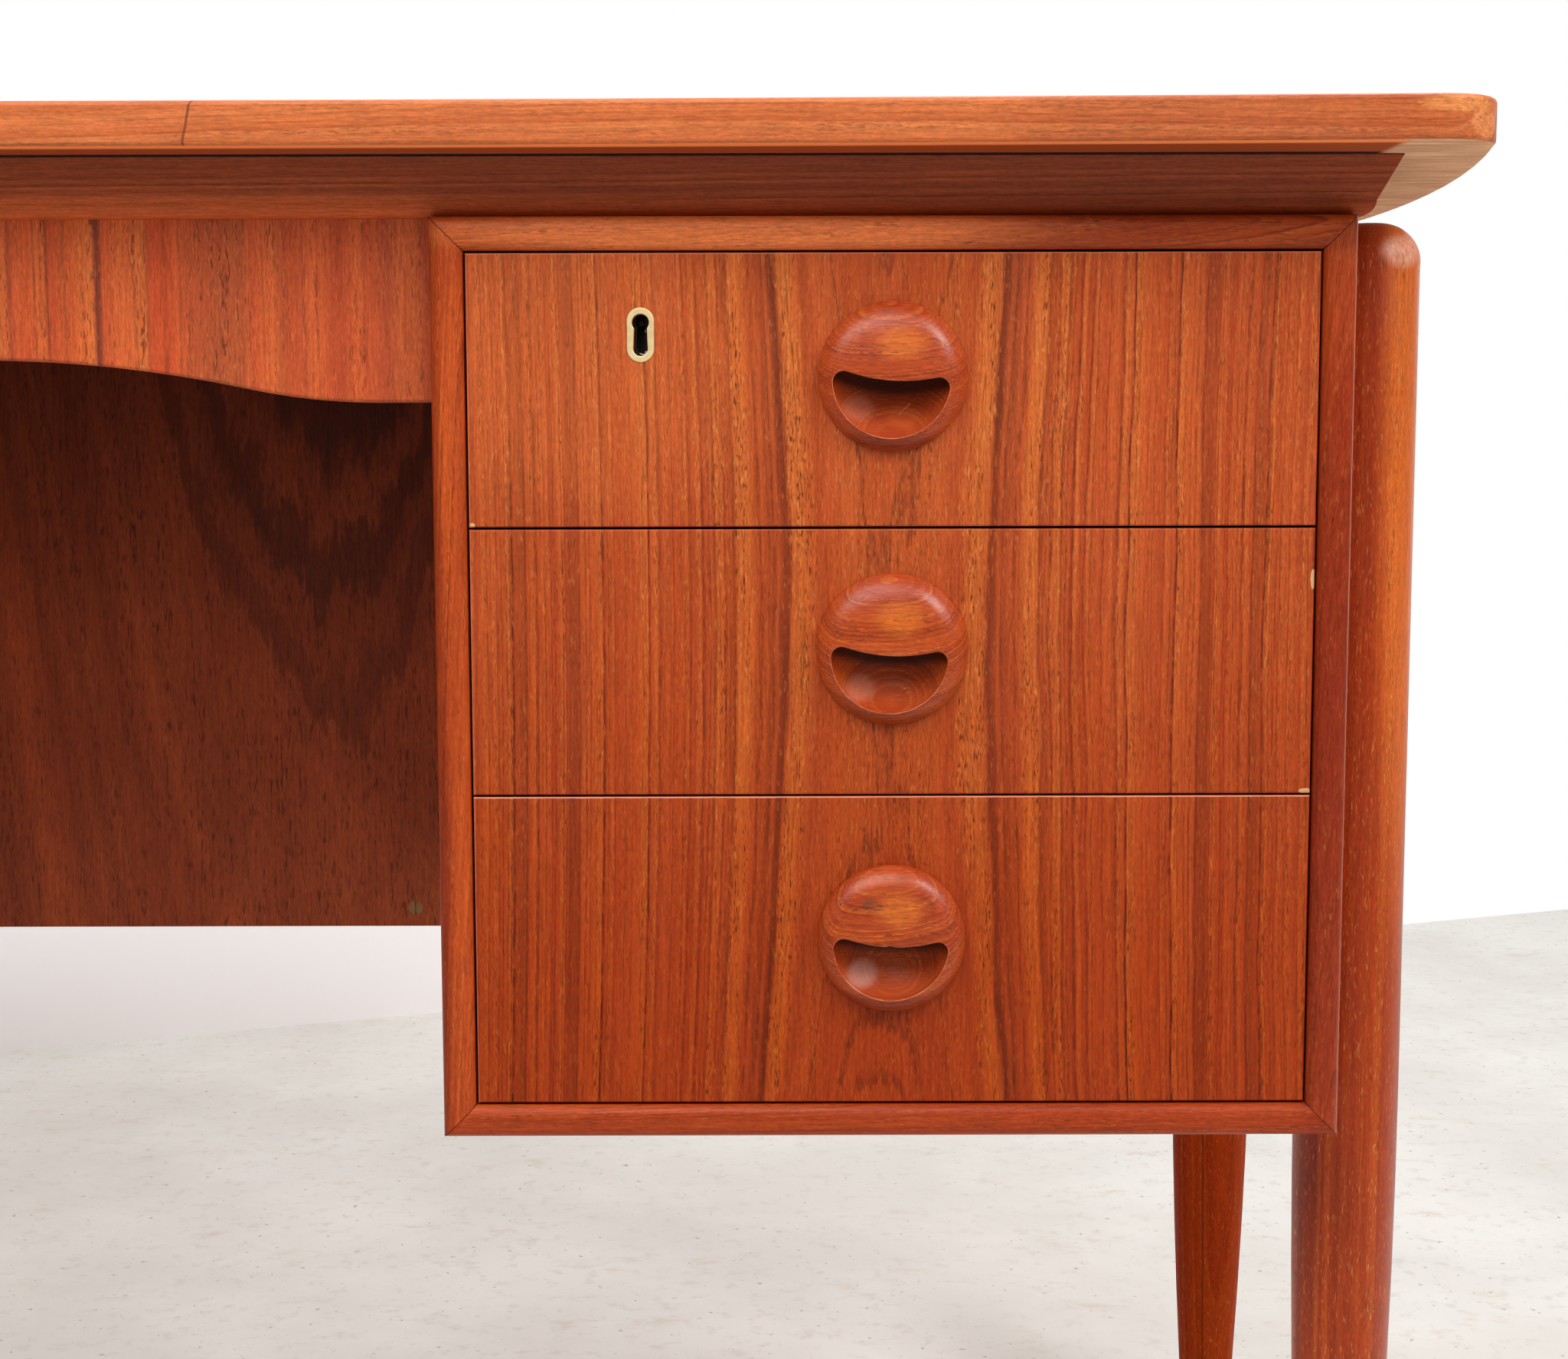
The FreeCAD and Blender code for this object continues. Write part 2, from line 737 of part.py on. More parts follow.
def make_lock():
    """The lock case with its key post, the bolt and the brass escutcheon."""
    case = lock_box(0.0)
    half = lock_width / 2 - lock_wall
    back = lock_front_y + lock_depth - lock_wall
    hollow = block(lock_x - half, lock_x + half, lock_front_y + lock_wall, back,
                   top_front_edge - lock_height + lock_wall, top_front_edge - lock_wall)
    slot_half = bolt_width / 2 + lock_clearance
    slot = block(lock_x - slot_half, lock_x + slot_half, bolt_front_y - lock_clearance,
                 bolt_front_y + bolt_thickness + lock_clearance,
                 top_front_edge - lock_wall * 2, top_front_edge + lock_wall)
    case = case.cut(hollow).cut(slot)
    case = case.cut(keyhole(lock_front_y - lock_wall, lock_front_y + lock_wall * 2,
                            case_keyhole_shift, case_keyhole_lift))
    post = Part.makeCylinder(key_post_radius, back - lock_front_y,
                             Vec(lock_x, lock_front_y, keyhole_z), -OUT)

    rest = bolt_front_y + bolt_thickness
    head = block(lock_x - bolt_width / 2, lock_x + bolt_width / 2, bolt_front_y, rest,
                 bolt_top_z, top_front_edge)
    low = bolt_top_z - bolt_body_height
    body = block(lock_x - bolt_body_width / 2, lock_x + bolt_body_width / 2, bolt_front_y,
                 rest, low, bolt_top_z)
    tail_x = lock_x + key_post_radius + lock_clearance
    tail = block(tail_x, tail_x + bolt_tail_width, bolt_front_y, rest,
                 low - bolt_tail_height, low)
    plate = stadium(0.0, front_face_y - escutcheon_proud,
                    front_face_y + escutcheon_depth - escutcheon_proud)
    plate = plate.cut(keyhole(front_face_y - drawer_gap, front_back_y))
    plate = plate.makeFillet(escutcheon_round,
                             edges_at(plate, "Y", front_face_y - escutcheon_proud))
    save("lock_case", case, post)
    save("lock_bolt", head.fuse([body, tail]).removeSplitter())
    save("keyhole_escutcheon", plate)


def make_spacer_screws():
    """The screws from the pedestals' top boards into the spacer frame."""
    screws = []
    holes = []
    for head in rail_screws():
        solid = slotted(screw(head, UP, rail_screw_length), head, UP, RIGHT)
        hole = screw(head, UP, rail_screw_length, screw_clearance)
        screws += [solid, mirrored(solid)]
        holes += [hole, mirrored(hole)]
    save("spacer_screws", *screws)
    return holes


os.makedirs("parts", exist_ok=True)
make_tabletop()
make_spacer_frame(make_spacer_screws())
make_apron()
make_kneehole_back()
make_pedestals()
make_legs()
make_drawers()
make_lock()
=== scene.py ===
"""Looks of the writing desk: veneers, solid teak, turned pulls, brass and steel."""
import math

import bmesh
import bpy
from mathutils import Matrix, Vector


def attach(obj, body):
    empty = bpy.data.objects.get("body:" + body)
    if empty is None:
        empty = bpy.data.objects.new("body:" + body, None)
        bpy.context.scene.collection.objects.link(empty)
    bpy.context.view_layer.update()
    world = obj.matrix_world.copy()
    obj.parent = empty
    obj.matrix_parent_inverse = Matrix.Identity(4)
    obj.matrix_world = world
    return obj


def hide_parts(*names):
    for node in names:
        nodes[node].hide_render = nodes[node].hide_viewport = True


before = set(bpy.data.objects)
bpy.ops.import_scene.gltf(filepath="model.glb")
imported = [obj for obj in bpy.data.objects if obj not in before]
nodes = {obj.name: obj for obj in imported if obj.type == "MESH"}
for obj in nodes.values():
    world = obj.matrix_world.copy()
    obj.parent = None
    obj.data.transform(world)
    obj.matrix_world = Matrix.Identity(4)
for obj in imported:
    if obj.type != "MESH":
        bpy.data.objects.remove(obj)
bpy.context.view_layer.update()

# Places on the desk, metres
CENTRE_X = 0.43555
FRONT_Y = -0.235
LEFT_EDGE, RIGHT_EDGE = 0.26185, 0.60925
UNDERSIDE = 0.712
PULL_HEIGHTS = {"top": 0.6235, "middle": 0.512, "bottom": 0.391}
SIDES = {"right": 1.0, "left": -1.0}
ACROSS = (1.0, 0.0, 0.0)
UP = (0.0, 0.0, 1.0)
MM = 0.001


# Building node trees

def add(tree, kind, inputs=(), **settings):
    """A node with its settings and inputs, which are values or other nodes' sockets."""
    node = tree.nodes.new(kind)
    for name, value in settings.items():
        setattr(node, name, value)
    for socket, value in dict(inputs).items():
        if isinstance(value, bpy.types.NodeSocket):
            tree.links.new(value, node.inputs[socket])
        else:
            node.inputs[socket].default_value = value
    return node


def calc(tree, operation, a, b=0.0):
    """The result of a math node."""
    return add(tree, "ShaderNodeMath", {0: a, 1: b}, operation=operation).outputs[0]


def plus(tree, a, b):
    return calc(tree, "ADD", a, b)


def minus(tree, a, b):
    return calc(tree, "SUBTRACT", a, b)


def times(tree, a, b):
    return calc(tree, "MULTIPLY", a, b)


def vector(tree, operation, a, b=(0.0, 0.0, 0.0)):
    """Both outputs of a vector node: its vector and its value."""
    return add(tree, "ShaderNodeVectorMath", {0: a, 1: b}, operation=operation).outputs


def ramp(tree, value, low, high, to_low=0.0, to_high=1.0):
    """Smooth step of a value from low to high."""
    node = add(tree, "ShaderNodeMapRange",
               {0: value, 1: low, 2: high, 3: to_low, 4: to_high},
               interpolation_type="SMOOTHSTEP")
    return node.outputs[0]


def blended(tree, factor, a, b):
    """A number between two others."""
    return add(tree, "ShaderNodeMix", {0: factor, 2: a, 3: b}).outputs[0]


def mixed(tree, factor, a, b, mode="MIX"):
    """Two colours mixed by a factor."""
    node = add(tree, "ShaderNodeMix", {0: factor, 6: a, 7: b}, data_type="RGBA",
               blend_type=mode)
    return node.outputs[2]


def noise(tree, point, scale, detail=2.0, rough=0.5, shift=(0.0, 0.0, 0.0)):
    """Noise over a point, finer along axes with a larger scale."""
    place = add(tree, "ShaderNodeMapping",
                {"Vector": point, "Scale": scale, "Location": shift})
    node = add(tree, "ShaderNodeTexNoise", {"Vector": place.outputs[0], "Scale": 1.0,
                                            "Detail": detail, "Roughness": rough})
    return node.outputs[0]


def bands(tree, value, scale, detail=2.0, rough=0.5):
    """Noise along one value, which gives stripes."""
    node = add(tree, "ShaderNodeTexNoise",
               {"W": times(tree, value, scale), "Scale": 1.0, "Detail": detail,
                "Roughness": rough}, noise_dimensions="1D")
    return node.outputs[0]


def tone(red, green, blue):
    """A colour given as it looks on screen, 0 to 255."""
    def linear(value):
        value /= 255.0
        return value / 12.92 if value <= 0.04045 else ((value + 0.055) / 1.055) ** 2.4
    return linear(red), linear(green), linear(blue), 1.0


def material(name):
    """An empty node material with its shader and object coordinates."""
    made = bpy.data.materials.new(name)
    made.use_nodes = True
    tree = made.node_tree
    tree.nodes.clear()
    output = add(tree, "ShaderNodeOutputMaterial")
    shader = add(tree, "ShaderNodeBsdfPrincipled")
    tree.links.new(shader.outputs[0], output.inputs[0])
    point = add(tree, "ShaderNodeTexCoord").outputs["Object"]
    return made, tree, shader, point


def split(tree, point):
    """The three coordinates of a point."""
    return list(add(tree, "ShaderNodeSeparateXYZ", {0: point}).outputs)


# Wood

PORE_SHADE = 0.45
GLINT_TONE = tone(226, 146, 78)
MITRE_LINE = (0.00012, 0.0005)
# How fine each noise is, per metre across, deep and along the grain
MAIN_WANDER = (9, 9, 2.4)
SMALL_WANDER = (60, 60, 14)
LINE_GAPS = (900, 900, 150)
CLOUDS = (22, 22, 7)
FIBRES = (1500, 1500, 60)
GRIT = (1200, 1200, 360)
PORE_STREAMS = (420, 420, 18)
PORES = (1600.0, 1600.0, 260.0)
GLINTS = (1300, 1300, 230)
POLISH = (70, 70, 12)


def pore_tone(colour):
    """The colour inside a pore or a joint, darker than the dark line."""
    return tuple(value * PORE_SHADE for value in colour[:3]) + (1.0,)


def grey(tree, value):
    """A number as a grey, to multiply a colour by."""
    return add(tree, "ShaderNodeCombineXYZ", {0: value, 1: value, 2: value}).outputs[0]


def turned_to(axes, along):
    """The three coordinates as across, deep and along the grain."""
    x, y, z = axes
    return {"X": (z, y, x), "Y": (x, z, y), "Z": (x, y, z)}[along]


def past_mitre(tree, axes, mitre):
    """How far past the mitres: above zero on the lengths that run the other way."""
    first, second, half_first, half_second, middle = mitre
    a = calc(tree, "ABSOLUTE", minus(tree, axes[first], middle[0]))
    b = calc(tree, "ABSOLUTE", minus(tree, axes[second], middle[1]))
    return minus(tree, minus(tree, a, half_first), minus(tree, b, half_second))


def laid_grain(tree, axes, along, shift, past):
    """The point across, deep and along the grain, which turns at the mitres."""
    run = turned_to(axes, along[0])
    if past:
        other_way = calc(tree, "GREATER_THAN", past, 0.0)
        run = [blended(tree, other_way, a, b)
               for a, b in zip(run, turned_to(axes, along[1]))]
        shift = (shift[0], shift[1], plus(tree, shift[2], other_way))
    return [plus(tree, value, step) for value, step in zip(run, shift)]


def ring_radius(tree, grain, place, heart, lean, wander, belly, flame, flame_scale):
    """How far a point lies from the tree's heart, on rings that wander as real ones do."""
    across, deep, length = place
    drift = times(tree, minus(tree, noise(tree, grain, MAIN_WANDER, 3.0), 0.5), wander)
    waver = minus(tree, noise(tree, grain, SMALL_WANDER, 2.0), 0.5)
    drift = plus(tree, drift, times(tree, waver, wander * 0.25))
    aside = minus(tree, plus(tree, across, drift), heart[0])
    swell = calc(tree, "ABSOLUTE", minus(tree, length, belly[0]))
    swell = calc(tree, "POWER", swell, 2.0)
    below = plus(tree, plus(tree, deep, heart[1]), times(tree, length, lean))
    below = minus(tree, below, times(tree, swell, belly[1]))
    below = plus(tree, below, times(tree, drift, 2.0))
    if flame:
        spikes = minus(tree, noise(tree, grain, flame_scale, 4.0, 0.65), 0.5)
        below = plus(tree, below, times(tree, spikes, flame * 4.0))
    return calc(tree, "SQRT", plus(tree, times(tree, aside, aside),
                                   times(tree, below, below)))


def ring_marks(tree, radius, grain, ring, line, figure):
    """How open the wood is, and how strong its dark lines are, across each ring."""
    uneven = times(tree, bands(tree, radius, 0.31 / ring), 1.6)
    phase = calc(tree, "FRACT", plus(tree, calc(tree, "DIVIDE", radius, ring), uneven))
    open_wood = minus(tree, 1.0, ramp(tree, phase, 0.1, 0.75))
    strength = ramp(tree, bands(tree, radius, 0.55 / ring, 1.0), 0.35, 0.7)
    late = minus(tree, ramp(tree, phase, 0.72, 0.92), ramp(tree, phase, 0.94, 1.0))
    dotted = ramp(tree, noise(tree, grain, LINE_GAPS, 2.0), 0.35, 0.6, 0.35, 1.0)
    late = times(tree, times(tree, times(tree, late, strength), line), dotted)
    open_wood = times(tree, open_wood, blended(tree, strength, 0.15, 0.7))
    if figure:
        pores, dusk, weight = figured(tree, radius, figure)
        open_wood = blended(tree, weight, open_wood, pores)
        late = blended(tree, weight, late, dusk)
    thin = ramp(tree, bands(tree, radius, 4.1 / ring, 1.0), 0.6, 0.68)
    thin = times(tree, times(tree, thin, line * 0.55), dotted)
    return open_wood, calc(tree, "MAXIMUM", late, thin)


def figured(tree, radius, stops):
    """Pores, dusk and weight read off a drawn row of bands: place, pores, dusk, weight."""
    low, high = stops[0][0], stops[-1][0]
    place = add(tree, "ShaderNodeMapRange", {0: radius, 1: low, 2: high}).outputs[0]
    node = add(tree, "ShaderNodeValToRGB", {0: place})
    points = node.color_ramp.elements
    while len(points) < len(stops):
        points.new(0.5)
    for point, (where, *values) in zip(points, stops):
        point.position = (where - low) / (high - low)
        point.color = (*values, 1.0)
    return add(tree, "ShaderNodeSeparateColor", {0: node.outputs[0]}).outputs


def banded(tree, colours, radius, grain, open_wood, late, ring, broad, streak, mottle):
    """The tones of the wood, from its broad bands down to its dark lines."""
    dark, middle, light, deep_line = colours
    wide = ramp(tree, bands(tree, radius, broad, 3.0, 0.6), 0.3, 0.7)
    colour = mixed(tree, wide, dark, middle)
    fine = ramp(tree, bands(tree, radius, 3.4 / ring, 2.0, 0.65), 0.3, 0.7)
    warm = times(tree, open_wood, plus(tree, times(tree, fine, 0.5), 0.5))
    colour = mixed(tree, warm, colour, light)
    colour = mixed(tree, late, colour, deep_line)
    dusk = ramp(tree, bands(tree, radius, broad * 1.7, 2.0), 0.6, 0.78)
    colour = mixed(tree, times(tree, dusk, streak), colour, deep_line)
    cloud = ramp(tree, noise(tree, grain, CLOUDS, 3.0, 0.6), 0.3, 0.75)
    return mixed(tree, times(tree, cloud, mottle), colour, dark)


def pored(tree, colour, grain, open_wood, deep_line, pores, pore_size, flecks):
    """The tones with fibres, grit, dark pores and light flecks; also fibres and pores."""
    fibre = ramp(tree, noise(tree, grain, FIBRES, 2.0, 0.6), 0.3, 0.7, 0.84, 1.12)
    grit = ramp(tree, noise(tree, grain, GRIT, 2.0, 0.7), 0.3, 0.7, 0.88, 1.12)
    colour = mixed(tree, 1.0, colour, grey(tree, times(tree, fibre, grit)), "MULTIPLY")
    stream = ramp(tree, noise(tree, grain, PORE_STREAMS, 2.0), 0.35, 0.65)
    scale = tuple(value / pore_size for value in PORES)
    dash = ramp(tree, noise(tree, grain, scale, 1.0), 0.52, 0.64, 0.0, 0.85)
    dash = times(tree, times(tree, dash, stream), pores)
    dash = times(tree, dash, plus(tree, times(tree, open_wood, 0.75), 0.25))
    colour = mixed(tree, dash, colour, pore_tone(deep_line))
    glint = ramp(tree, noise(tree, grain, GLINTS, 1.0, 0.5, (7, 3, 5)), 0.62, 0.72)
    glint = times(tree, times(tree, glint, flecks),
                  plus(tree, times(tree, open_wood, 0.7), 0.3))
    return mixed(tree, glint, colour, GLINT_TONE), fibre, dash


# The top's underside, with a painted highlight line, shadow and lit rim: distances from the
# middle, and in from the bowed front edge
RAIL_SHADOW_Y = (0.2430, 0.2445)
RAIL_HIGHLIGHT_Y = (0.2455, 0.2475)
RAIL_END_X = (0.629, 0.634)
FRONT_EDGE_Y = 0.267
FRONT_EDGE_BOW = 0.0293
LIT_FRONT_RIM = (0.0045, 0.0075)


def dry_underside(tree, point, axes, colour):
    """The top's unpolished underside; its strip before the spacer frame is painted dark as
    shade, with a painted highlight line and shadow at the rail and a painted lit rim at the
    front.
    """
    dry = ramp(tree, noise(tree, point, (30.0, 240.0, 30.0), 4.0, 0.65), 0.3, 0.7)
    dry = mixed(tree, dry, tone(200, 148, 108), tone(240, 196, 152))
    specks = noise(tree, point, (420.0, 900.0, 420.0), 2.0)
    dry = mixed(tree, ramp(tree, specks, 0.62, 0.72, 0.0, 0.5), dry, tone(128, 76, 48))
    out = calc(tree, "ABSOLUTE", axes[1])
    # Painted highlight line along the rail, on a strip painted dark as shade under the front
    strip = mixed(tree, ramp(tree, out, *RAIL_HIGHLIGHT_Y), tone(170, 84, 50), tone(168, 72, 20))
    bow = times(tree, times(tree, axes[0], axes[0]), FRONT_EDGE_BOW)
    inward = minus(tree, plus(tree, bow, FRONT_EDGE_Y), out)
    # Painted light on the rim behind the front edge, as if the lower edge were lit
    strip = mixed(tree, ramp(tree, inward, *LIT_FRONT_RIM), tone(255, 148, 82), strip)
    # Painted shadow along the rail
    strip = mixed(tree, ramp(tree, out, *RAIL_SHADOW_Y), tone(44, 16, 10), strip)
    past_rails = ramp(tree, calc(tree, "ABSOLUTE", axes[0]), *RAIL_END_X)
    below = calc(tree, "LESS_THAN", axes[2], UNDERSIDE + 0.5 * MM)
    return mixed(tree, below, colour, mixed(tree, past_rails, strip, dry)), below


def wood(name, colours, along="Z", shift=(0.0, 0.0, 0.0), heart=(0.0, 0.06), lean=0.02,
         ring=0.0032, line=0.5, broad=55.0, wander=0.004, pores=0.6, flecks=0.4,
         streak=0.3, mottle=0.4, gloss=0.44, level=0.2, mitre=None, washes=(), marks=(),
         belly=(0.0, 0.0), figure=None, shade_fall=None, raw=False, joint=0.8,
         flame=0.0, flame_scale=(520, 520, 26), pore_size=1.0):
    """Sawn teak. The tree's heart lies across and deep from the piece's own place.

    Washes tint the wood under its pores, and marks lie on top of them.
    """
    made, tree, shader, point = material(name)
    axes = split(tree, point)
    past = past_mitre(tree, axes, mitre) if mitre else None
    place = laid_grain(tree, axes, along, shift, past)
    grain = add(tree, "ShaderNodeCombineXYZ", dict(enumerate(place))).outputs[0]
    radius = ring_radius(tree, grain, place, heart, lean, wander, belly, flame,
                         flame_scale)
    open_wood, late = ring_marks(tree, radius, grain, ring, line, figure)
    colour = banded(tree, colours, radius, grain, open_wood, late, ring, broad, streak,
                    mottle)
    for wash in washes:
        colour = wash(tree, point, colour)
    colour, fibre, dash = pored(tree, colour, grain, open_wood, colours[3], pores,
                                pore_size, flecks)
    if mitre:
        gap = ramp(tree, calc(tree, "ABSOLUTE", past), *MITRE_LINE, joint, 0.0)
        colour = mixed(tree, gap, colour, pore_tone(colours[3]))
    # Painted shade: the colour darkens towards one end of a height range, where less light
    # falls
    if shade_fall:
        low, high, tint = shade_fall
        colour = mixed(tree, ramp(tree, axes[2], low, high, 1.0, 0.0), colour, tint,
                       "MULTIPLY")
    for mark in marks:
        colour = mark(tree, point, colour)

    polish = noise(tree, grain, POLISH, 3.0)
    polish = ramp(tree, polish, 0.2, 0.8, gloss - 0.07, gloss + 0.09)
    if raw:
        colour, below = dry_underside(tree, point, axes, colour)
        polish = blended(tree, below, polish, 0.95)
    tree.links.new(colour, shader.inputs["Base Color"])
    tree.links.new(polish, shader.inputs["Roughness"])
    shader.inputs["Specular IOR Level"].default_value = level
    relief = minus(tree, times(tree, fibre, 0.5), dash)
    bump = add(tree, "ShaderNodeBump",
               {"Strength": 0.35, "Distance": 0.2 * MM, "Height": relief})
    tree.links.new(bump.outputs[0], shader.inputs["Normal"])
    return made


# Painted places, each a function of a tree, a point and the colour under it

def reach_from(tree, point, centre, size):
    """How far a point lies from a centre, where 1 is the size along each axis."""
    offset = vector(tree, "SUBTRACT", point, centre)["Vector"]
    scaled = vector(tree, "DIVIDE", offset, size)["Vector"]
    return vector(tree, "LENGTH", scaled)["Value"]


def patch(centre, size, colour, amount=0.8, grit=(900.0, 900.0, 900.0), cut=(0.45, 0.6)):
    """A place of another tone with a ragged edge, for nicks, stains, pale patches and painted
    glints.
    """
    def paint(tree, point, under):
        ragged = plus(tree, noise(tree, point, grit, 3.0, 0.6), 0.35)
        inside = ramp(tree, reach_from(tree, point, centre, size), 0.5, 1.0, 1.0, 0.0)
        spots = ramp(tree, times(tree, inside, ragged), *cut)
        return mixed(tree, times(tree, spots, amount), under, colour)
    return paint


def tinted(centre, size, colour, amount, mode="MIX"):
    """A soft zone of another tone."""
    def paint(tree, point, under):
        inside = ramp(tree, reach_from(tree, point, centre, size), 0.45, 1.0, amount, 0.0)
        return mixed(tree, inside, under, colour, mode)
    return paint


def washed(table, middle=0.0):
    """The soft zones of a table, with their places about a middle."""
    return [tinted((middle + place[0], *place[1:]), *rest)
            for place, *rest in table.values()]


def seam(place, normal, width, colour, amount=0.8):
    """A thin line where a plane crosses the surface."""
    def paint(tree, point, under):
        offset = vector(tree, "SUBTRACT", point, place)["Vector"]
        away = vector(tree, "DOT_PRODUCT", offset, normal)["Value"]
        ragged = minus(tree, noise(tree, point, (160.0, 160.0, 160.0)), 0.5)
        away = calc(tree, "ABSOLUTE", plus(tree, away, times(tree, ragged, width)))
        return mixed(tree, ramp(tree, away, width * 0.3, width, amount, 0.0), under, colour)
    return paint


def scratch(start, end, width, colour, amount=0.8):
    """A short straight scratch, seen from the front."""
    def paint(tree, point, under):
        first = Vector((start[0], 0.0, start[1]))
        run = Vector((end[0], 0.0, end[1])) - first
        flat = vector(tree, "MULTIPLY", point, (1.0, 0.0, 1.0))["Vector"]
        offset = vector(tree, "SUBTRACT", flat, tuple(first))["Vector"]
        share = vector(tree, "DOT_PRODUCT", offset, tuple(run / run.length_squared))
        along = calc(tree, "MAXIMUM", share["Value"], 0.0)
        along = calc(tree, "MINIMUM", along, 1.0)
        foot = add(tree, "ShaderNodeVectorMath", {0: tuple(run), 3: along},
                   operation="SCALE")
        gap = vector(tree, "DISTANCE", offset, foot.outputs[0])["Value"]
        return mixed(tree, ramp(tree, gap, width * 0.3, width, amount, 0.0), under, colour)
    return paint


# Tones of teak: dark band, middle, light band, line
VENEER = (tone(176, 70, 31), tone(192, 86, 39), tone(212, 114, 50), tone(88, 30, 18))
APRON = (tone(200, 80, 42), tone(212, 94, 50), tone(226, 122, 58), tone(118, 50, 40))
TOP = (tone(174, 84, 40), tone(200, 108, 56), tone(222, 134, 72), tone(112, 56, 32))
SOLID = (tone(164, 58, 20), tone(196, 80, 30), tone(218, 112, 42), tone(92, 32, 16))
LIPPING = (tone(192, 94, 46), tone(216, 116, 61), tone(234, 142, 80), tone(112, 48, 28))
RAIL = (tone(138, 58, 24), tone(166, 74, 31), tone(200, 98, 46), tone(72, 30, 15))
LEG = (tone(156, 50, 10), tone(188, 70, 16), tone(218, 106, 32), tone(100, 34, 10))
PANEL = (tone(142, 58, 28), tone(184, 78, 36), tone(206, 98, 48), tone(78, 46, 34))
PULL = (tone(164, 56, 24), tone(192, 78, 28), tone(222, 116, 34), tone(84, 26, 14))
BOX = (tone(206, 160, 112), tone(220, 178, 130), tone(230, 192, 146), tone(160, 112, 74))
PALE = tone(232, 186, 128)

# Bands of the veneers: place, pores, dusk, weight
FRONT_BANDS = [(0.0550, 0.1, 0.0, 1.0), (0.0665, 0.2, 0.0, 1.0), (0.0685, 0.5, 0.05, 1.0),
               (0.0700, 0.1, 0.0, 1.0), (0.0728, 0.05, 0.1, 1.0), (0.0738, 0.7, 0.0, 1.0),
               (0.0765, 1.0, 0.0, 1.0), (0.0778, 0.6, 0.1, 1.0), (0.0786, 0.2, 0.8, 1.0),
               (0.0797, 0.1, 0.65, 1.0), (0.0805, 0.1, 0.12, 1.0), (0.0860, 0.05, 0.08, 1.0),
               (0.0876, 0.8, 0.0, 1.0), (0.0905, 0.9, 0.0, 1.0), (0.0914, 0.3, 0.5, 1.0),
               (0.0925, 0.1, 0.08, 1.0), (0.0950, 0.6, 0.0, 1.0), (0.0965, 0.8, 0.0, 1.0),
               (0.0972, 0.3, 0.5, 1.0), (0.0980, 0.2, 0.0, 0.9), (0.1010, 0.5, 0.0, 0.0)]
PANEL_BANDS = [(0.1830, 0.1, 0.62, 1.0), (0.1905, 0.0, 0.7, 1.0), (0.1922, 0.3, 0.1, 1.0),
               (0.1955, 0.5, 0.0, 1.0), (0.1972, 0.1, 0.55, 1.0), (0.2000, 0.0, 0.66, 1.0),
               (0.2012, 0.3, 0.1, 1.0), (0.2045, 0.5, 0.0, 1.0), (0.2058, 0.2, 0.31, 1.0),
               (0.2090, 0.1, 0.3, 1.0), (0.2105, 0.5, 0.0, 1.0), (0.2300, 0.7, 0.0, 0.8),
               (0.2420, 0.3, 0.15, 0.8), (0.2500, 0.7, 0.0, 0.8), (0.2680, 0.2, 0.27, 0.8),
               (0.2720, 0.4, 0.1, 0.8), (0.2950, 0.4, 0.1, 0.7), (0.3020, 0.1, 0.31, 0.8),
               (0.3080, 0.5, 0.1, 0.5), (0.3800, 0.3, 0.1, 0.0)]
APRON_BANDS = [(0.0000, 0.5, 0.1, 0.0), (0.0500, 0.5, 0.1, 1.0), (0.0685, 0.8, 0.0, 1.0),
               (0.0699, 0.3, 0.7, 1.0), (0.0712, 0.05, 0.0, 1.0), (0.0800, 0.35, 0.0, 1.0),
               (0.0844, 0.8, 0.1, 1.0), (0.0852, 0.3, 0.8, 1.0), (0.0861, 0.05, 0.1, 1.0),
               (0.0970, 0.45, 0.0, 1.0), (0.1042, 0.9, 0.0, 1.0), (0.1053, 0.4, 0.9, 1.0),
               (0.1071, 0.3, 0.85, 1.0), (0.1083, 0.1, 0.0, 1.0), (0.1170, 0.4, 0.0, 1.0),
               (0.1258, 0.9, 0.1, 1.0), (0.1266, 0.4, 0.7, 1.0), (0.1273, 0.0, 0.0, 1.0),
               (0.1390, 0.1, 0.0, 1.0), (0.1440, 0.3, 0.35, 1.0), (0.1560, 0.8, 0.55, 1.0),
               (0.1660, 0.7, 0.4, 1.0), (0.1700, 0.1, 0.05, 1.0), (0.1780, 0.7, 0.0, 1.0),
               (0.1880, 0.1, 0.25, 1.0), (0.1950, 0.5, 0.0, 1.0), (0.2060, 0.1, 0.4, 1.0),
               (0.2120, 0.5, 0.0, 1.0), (0.2255, 0.2, 0.45, 1.0), (0.2310, 0.5, 0.15, 1.0),
               (0.2480, 0.3, 0.25, 1.0)]

# Soft zones of other tones: place, size, colour, amount
FRAME_WASHES = {
    "outer stile": ((0.184, -0.23, 0.45), (0.02, 0.05, 0.30), tone(134, 40, 20), 0.75),
    # painted light on the rounded inner stile, and painted shade along its edge
    "lit inner stile": ((-0.178, -0.23, 0.50), (0.007, 0.05, 0.26), tone(206, 88, 30), 0.3),
    "shaded inner edge": ((-0.188, -0.23, 0.46), (0.006, 0.05, 0.24), tone(138, 46, 22), 0.6),
    # painted highlight on the top rail's left, and painted shade on its right
    "lit top": ((-0.06, -0.236, 0.682), (0.17, 0.05, 0.013), tone(252, 142, 80), 0.6),
    "shaded top": ((0.12, -0.236, 0.681), (0.12, 0.05, 0.014), tone(136, 58, 30), 0.45),
    "bottom": ((0.02, -0.23, 0.31), (0.30, 0.05, 0.02), tone(166, 60, 28), 0.4)}
LIPPING_WASHES = {
    # painted shade on the lipping's right end
    "shaded end": ((0.57, -0.27, 0.72), (0.12, 0.3, 0.2), (0.80, 0.74, 0.76, 1.0), 1.0,
                   "MULTIPLY")}
